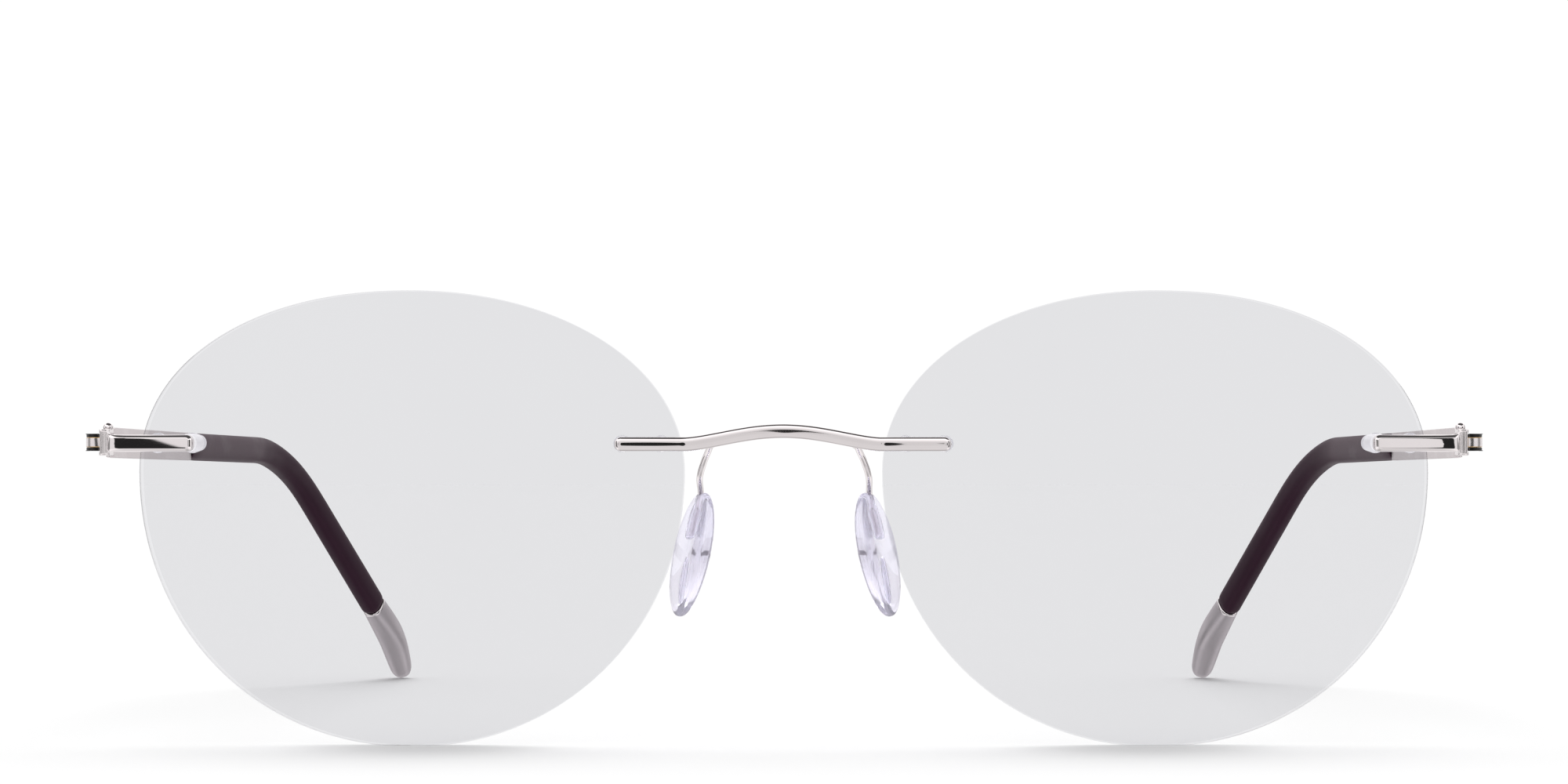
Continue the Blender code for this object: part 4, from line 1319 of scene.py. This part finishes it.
def card(azimuth, elevation, at, half_size, soft, lean=0.0):
    """A dark card: 1 inside an ellipse round the place at, leaning by lean."""
    across = (azimuth - at[0] + (elevation - at[1]) * lean) / half_size[0]
    up = (elevation - at[1]) / half_size[1]
    r = Socket.math("SQRT", across * across + up * up)
    return 1.0 - step(r, edge=1.0, soft=soft)


def reflected_base(azimuth, elevation):
    """Brightness of the studio in reflections, before the dark cards."""
    level = mix(0.74, 1.30, step(elevation, edge=20.0, soft=22.0))
    level = level + 0.12 * step(azimuth.abs(), edge=27.0, soft=8.0) * (
        1.0 - step(elevation, edge=20.0, soft=2.0))
    level = mix(level, 0.78, 1.0 - step(elevation, edge=-8.0, soft=10.0))
    below = mix(0.80, 1.04, step(azimuth.abs(), edge=24.0, soft=8.0))
    level = mix(level, below, 1.0 - step(elevation, edge=-26.0, soft=8.0))
    return mix(level, 0.50, 1.0 - step(elevation, edge=-64.0, soft=40.0))


def dark_cards(azimuth, elevation, x, y):
    """How dark the cards make each direction, from 0 to 1."""
    # overhead, reaching lower on the +x side
    lowered = Socket.math("MINIMUM", x.clamp(), 0.20) * 60.0
    top = step(elevation + lowered, edge=53.0, soft=7.0)
    dark = top * step(0.0 - y, edge=-0.48, soft=0.10) * 0.95
    for place, half_size, soft, strength in (  # degrees
        ((11.0, 0.0), (4.9, 10.0), 0.14, None),
        ((-1.25, 0.0), (0.86, 10.0), 0.26, None),
        ((-17.0, 0.0), (2.5, 10.0), 0.16, None),
        ((-10.3, 4.0), (0.8, 4.0), 0.6, 0.5),
    ):
        shade = card(azimuth, elevation, place, half_size, soft)
        if strength:
            shade = shade * strength
        dark = Socket.math("MAXIMUM", dark, shade)
    # a slanted card on the -x side, and one on the +x side with a pointed inner edge
    slanted = band(azimuth + elevation * 0.31, start=-57.5, end=-34.25, soft=0.8) * band(
        elevation, start=-23.0, end=23.0, soft=5.0)
    pointed = step(azimuth + elevation.abs() * 0.5, edge=38.8, soft=1.0) * (
        1.0 - step(azimuth, edge=60.0, soft=1.6)) * band(
        elevation, start=-23.0, end=23.0, soft=5.0)
    dark = Socket.math("MAXIMUM", dark, Socket.math("MAXIMUM", slanted, pointed))
    # flags out to both sides
    flags = band(azimuth.abs(), start=97.0, end=119.0, soft=7.0) * band(
        elevation, start=-38.0, end=38.0, soft=20.0) * 0.72
    return Socket.math("MAXIMUM", dark, flags)


def make_world():
    """Reflections see a studio with dark cards; other rays see plain levels."""
    world = bpy.data.worlds.new("studio")
    bpy.context.scene.world = world
    world.use_nodes = True
    start_tree(world.node_tree)
    x, y, z = split(output("ShaderNodeTexCoord", "Generated"))
    # degrees: azimuth from -y towards +x, elevation above the horizon
    azimuth = Socket.math("ARCTAN2", x, 0.0 - y) * (180 / math.pi)
    elevation = Socket.math("ARCSINE", z.clamp() - (0.0 - z).clamp()) * (180 / math.pi)
    base = reflected_base(azimuth, elevation)
    level = mix(base, 0.02, dark_cards(azimuth, elevation, x, y))
    reflected = combine([level * k for k in (1.0, 0.985, 0.985)])
    rays = node("ShaderNodeLightPath").outputs
    bent = mix(0.50, 1.0, step(y, edge=0.50, soft=0.60))  # what light bent in clear parts meets
    plain = mix(1.03, 0.62, Socket(rays["Is Diffuse Ray"]))
    plain = mix(plain, bent, Socket(rays["Is Transmission Ray"]))
    colour = tint(combine([plain] * 3), reflected, Socket(rays["Is Glossy Ray"]))
    node("ShaderNodeOutputWorld",
         Surface=output("ShaderNodeBackground", Color=colour, Strength=1.0))


def make_sun():
    """A broad, soft light from above and behind the spectacles."""
    data = bpy.data.lights.new("overhead_window", "SUN")
    data.energy = 1.69
    data.angle = math.radians(50.0)
    sun = add_object("overhead_window", data)
    sun.rotation_euler = (math.radians(-27.0), 0.0, 0.0)
    sun.visible_glossy = False


def make_camera():
    """Level camera in front, looking towards +y."""
    data = bpy.data.cameras.new("camera")
    data.sensor_fit = "HORIZONTAL"
    data.sensor_width = 36.0
    data.lens = 94.70
    data.shift_x, data.shift_y = -0.04625, 0.048
    data.clip_start, data.clip_end = 0.01, 50.0
    camera = add_object("camera", data)
    camera.location = (0.0071, -0.466234, 0.02727)
    camera.rotation_euler = (math.radians(90.0), 0.0, 0.0)
    bpy.context.scene.camera = camera


make_floor()
make_world()
make_sun()
make_camera()

scene = bpy.context.scene
scene.view_settings.view_transform = "Standard"
scene.view_settings.look = "None"
scene.cycles.max_bounces = 16
scene.cycles.transparent_max_bounces = 24
scene.cycles.transmission_bounces = 12
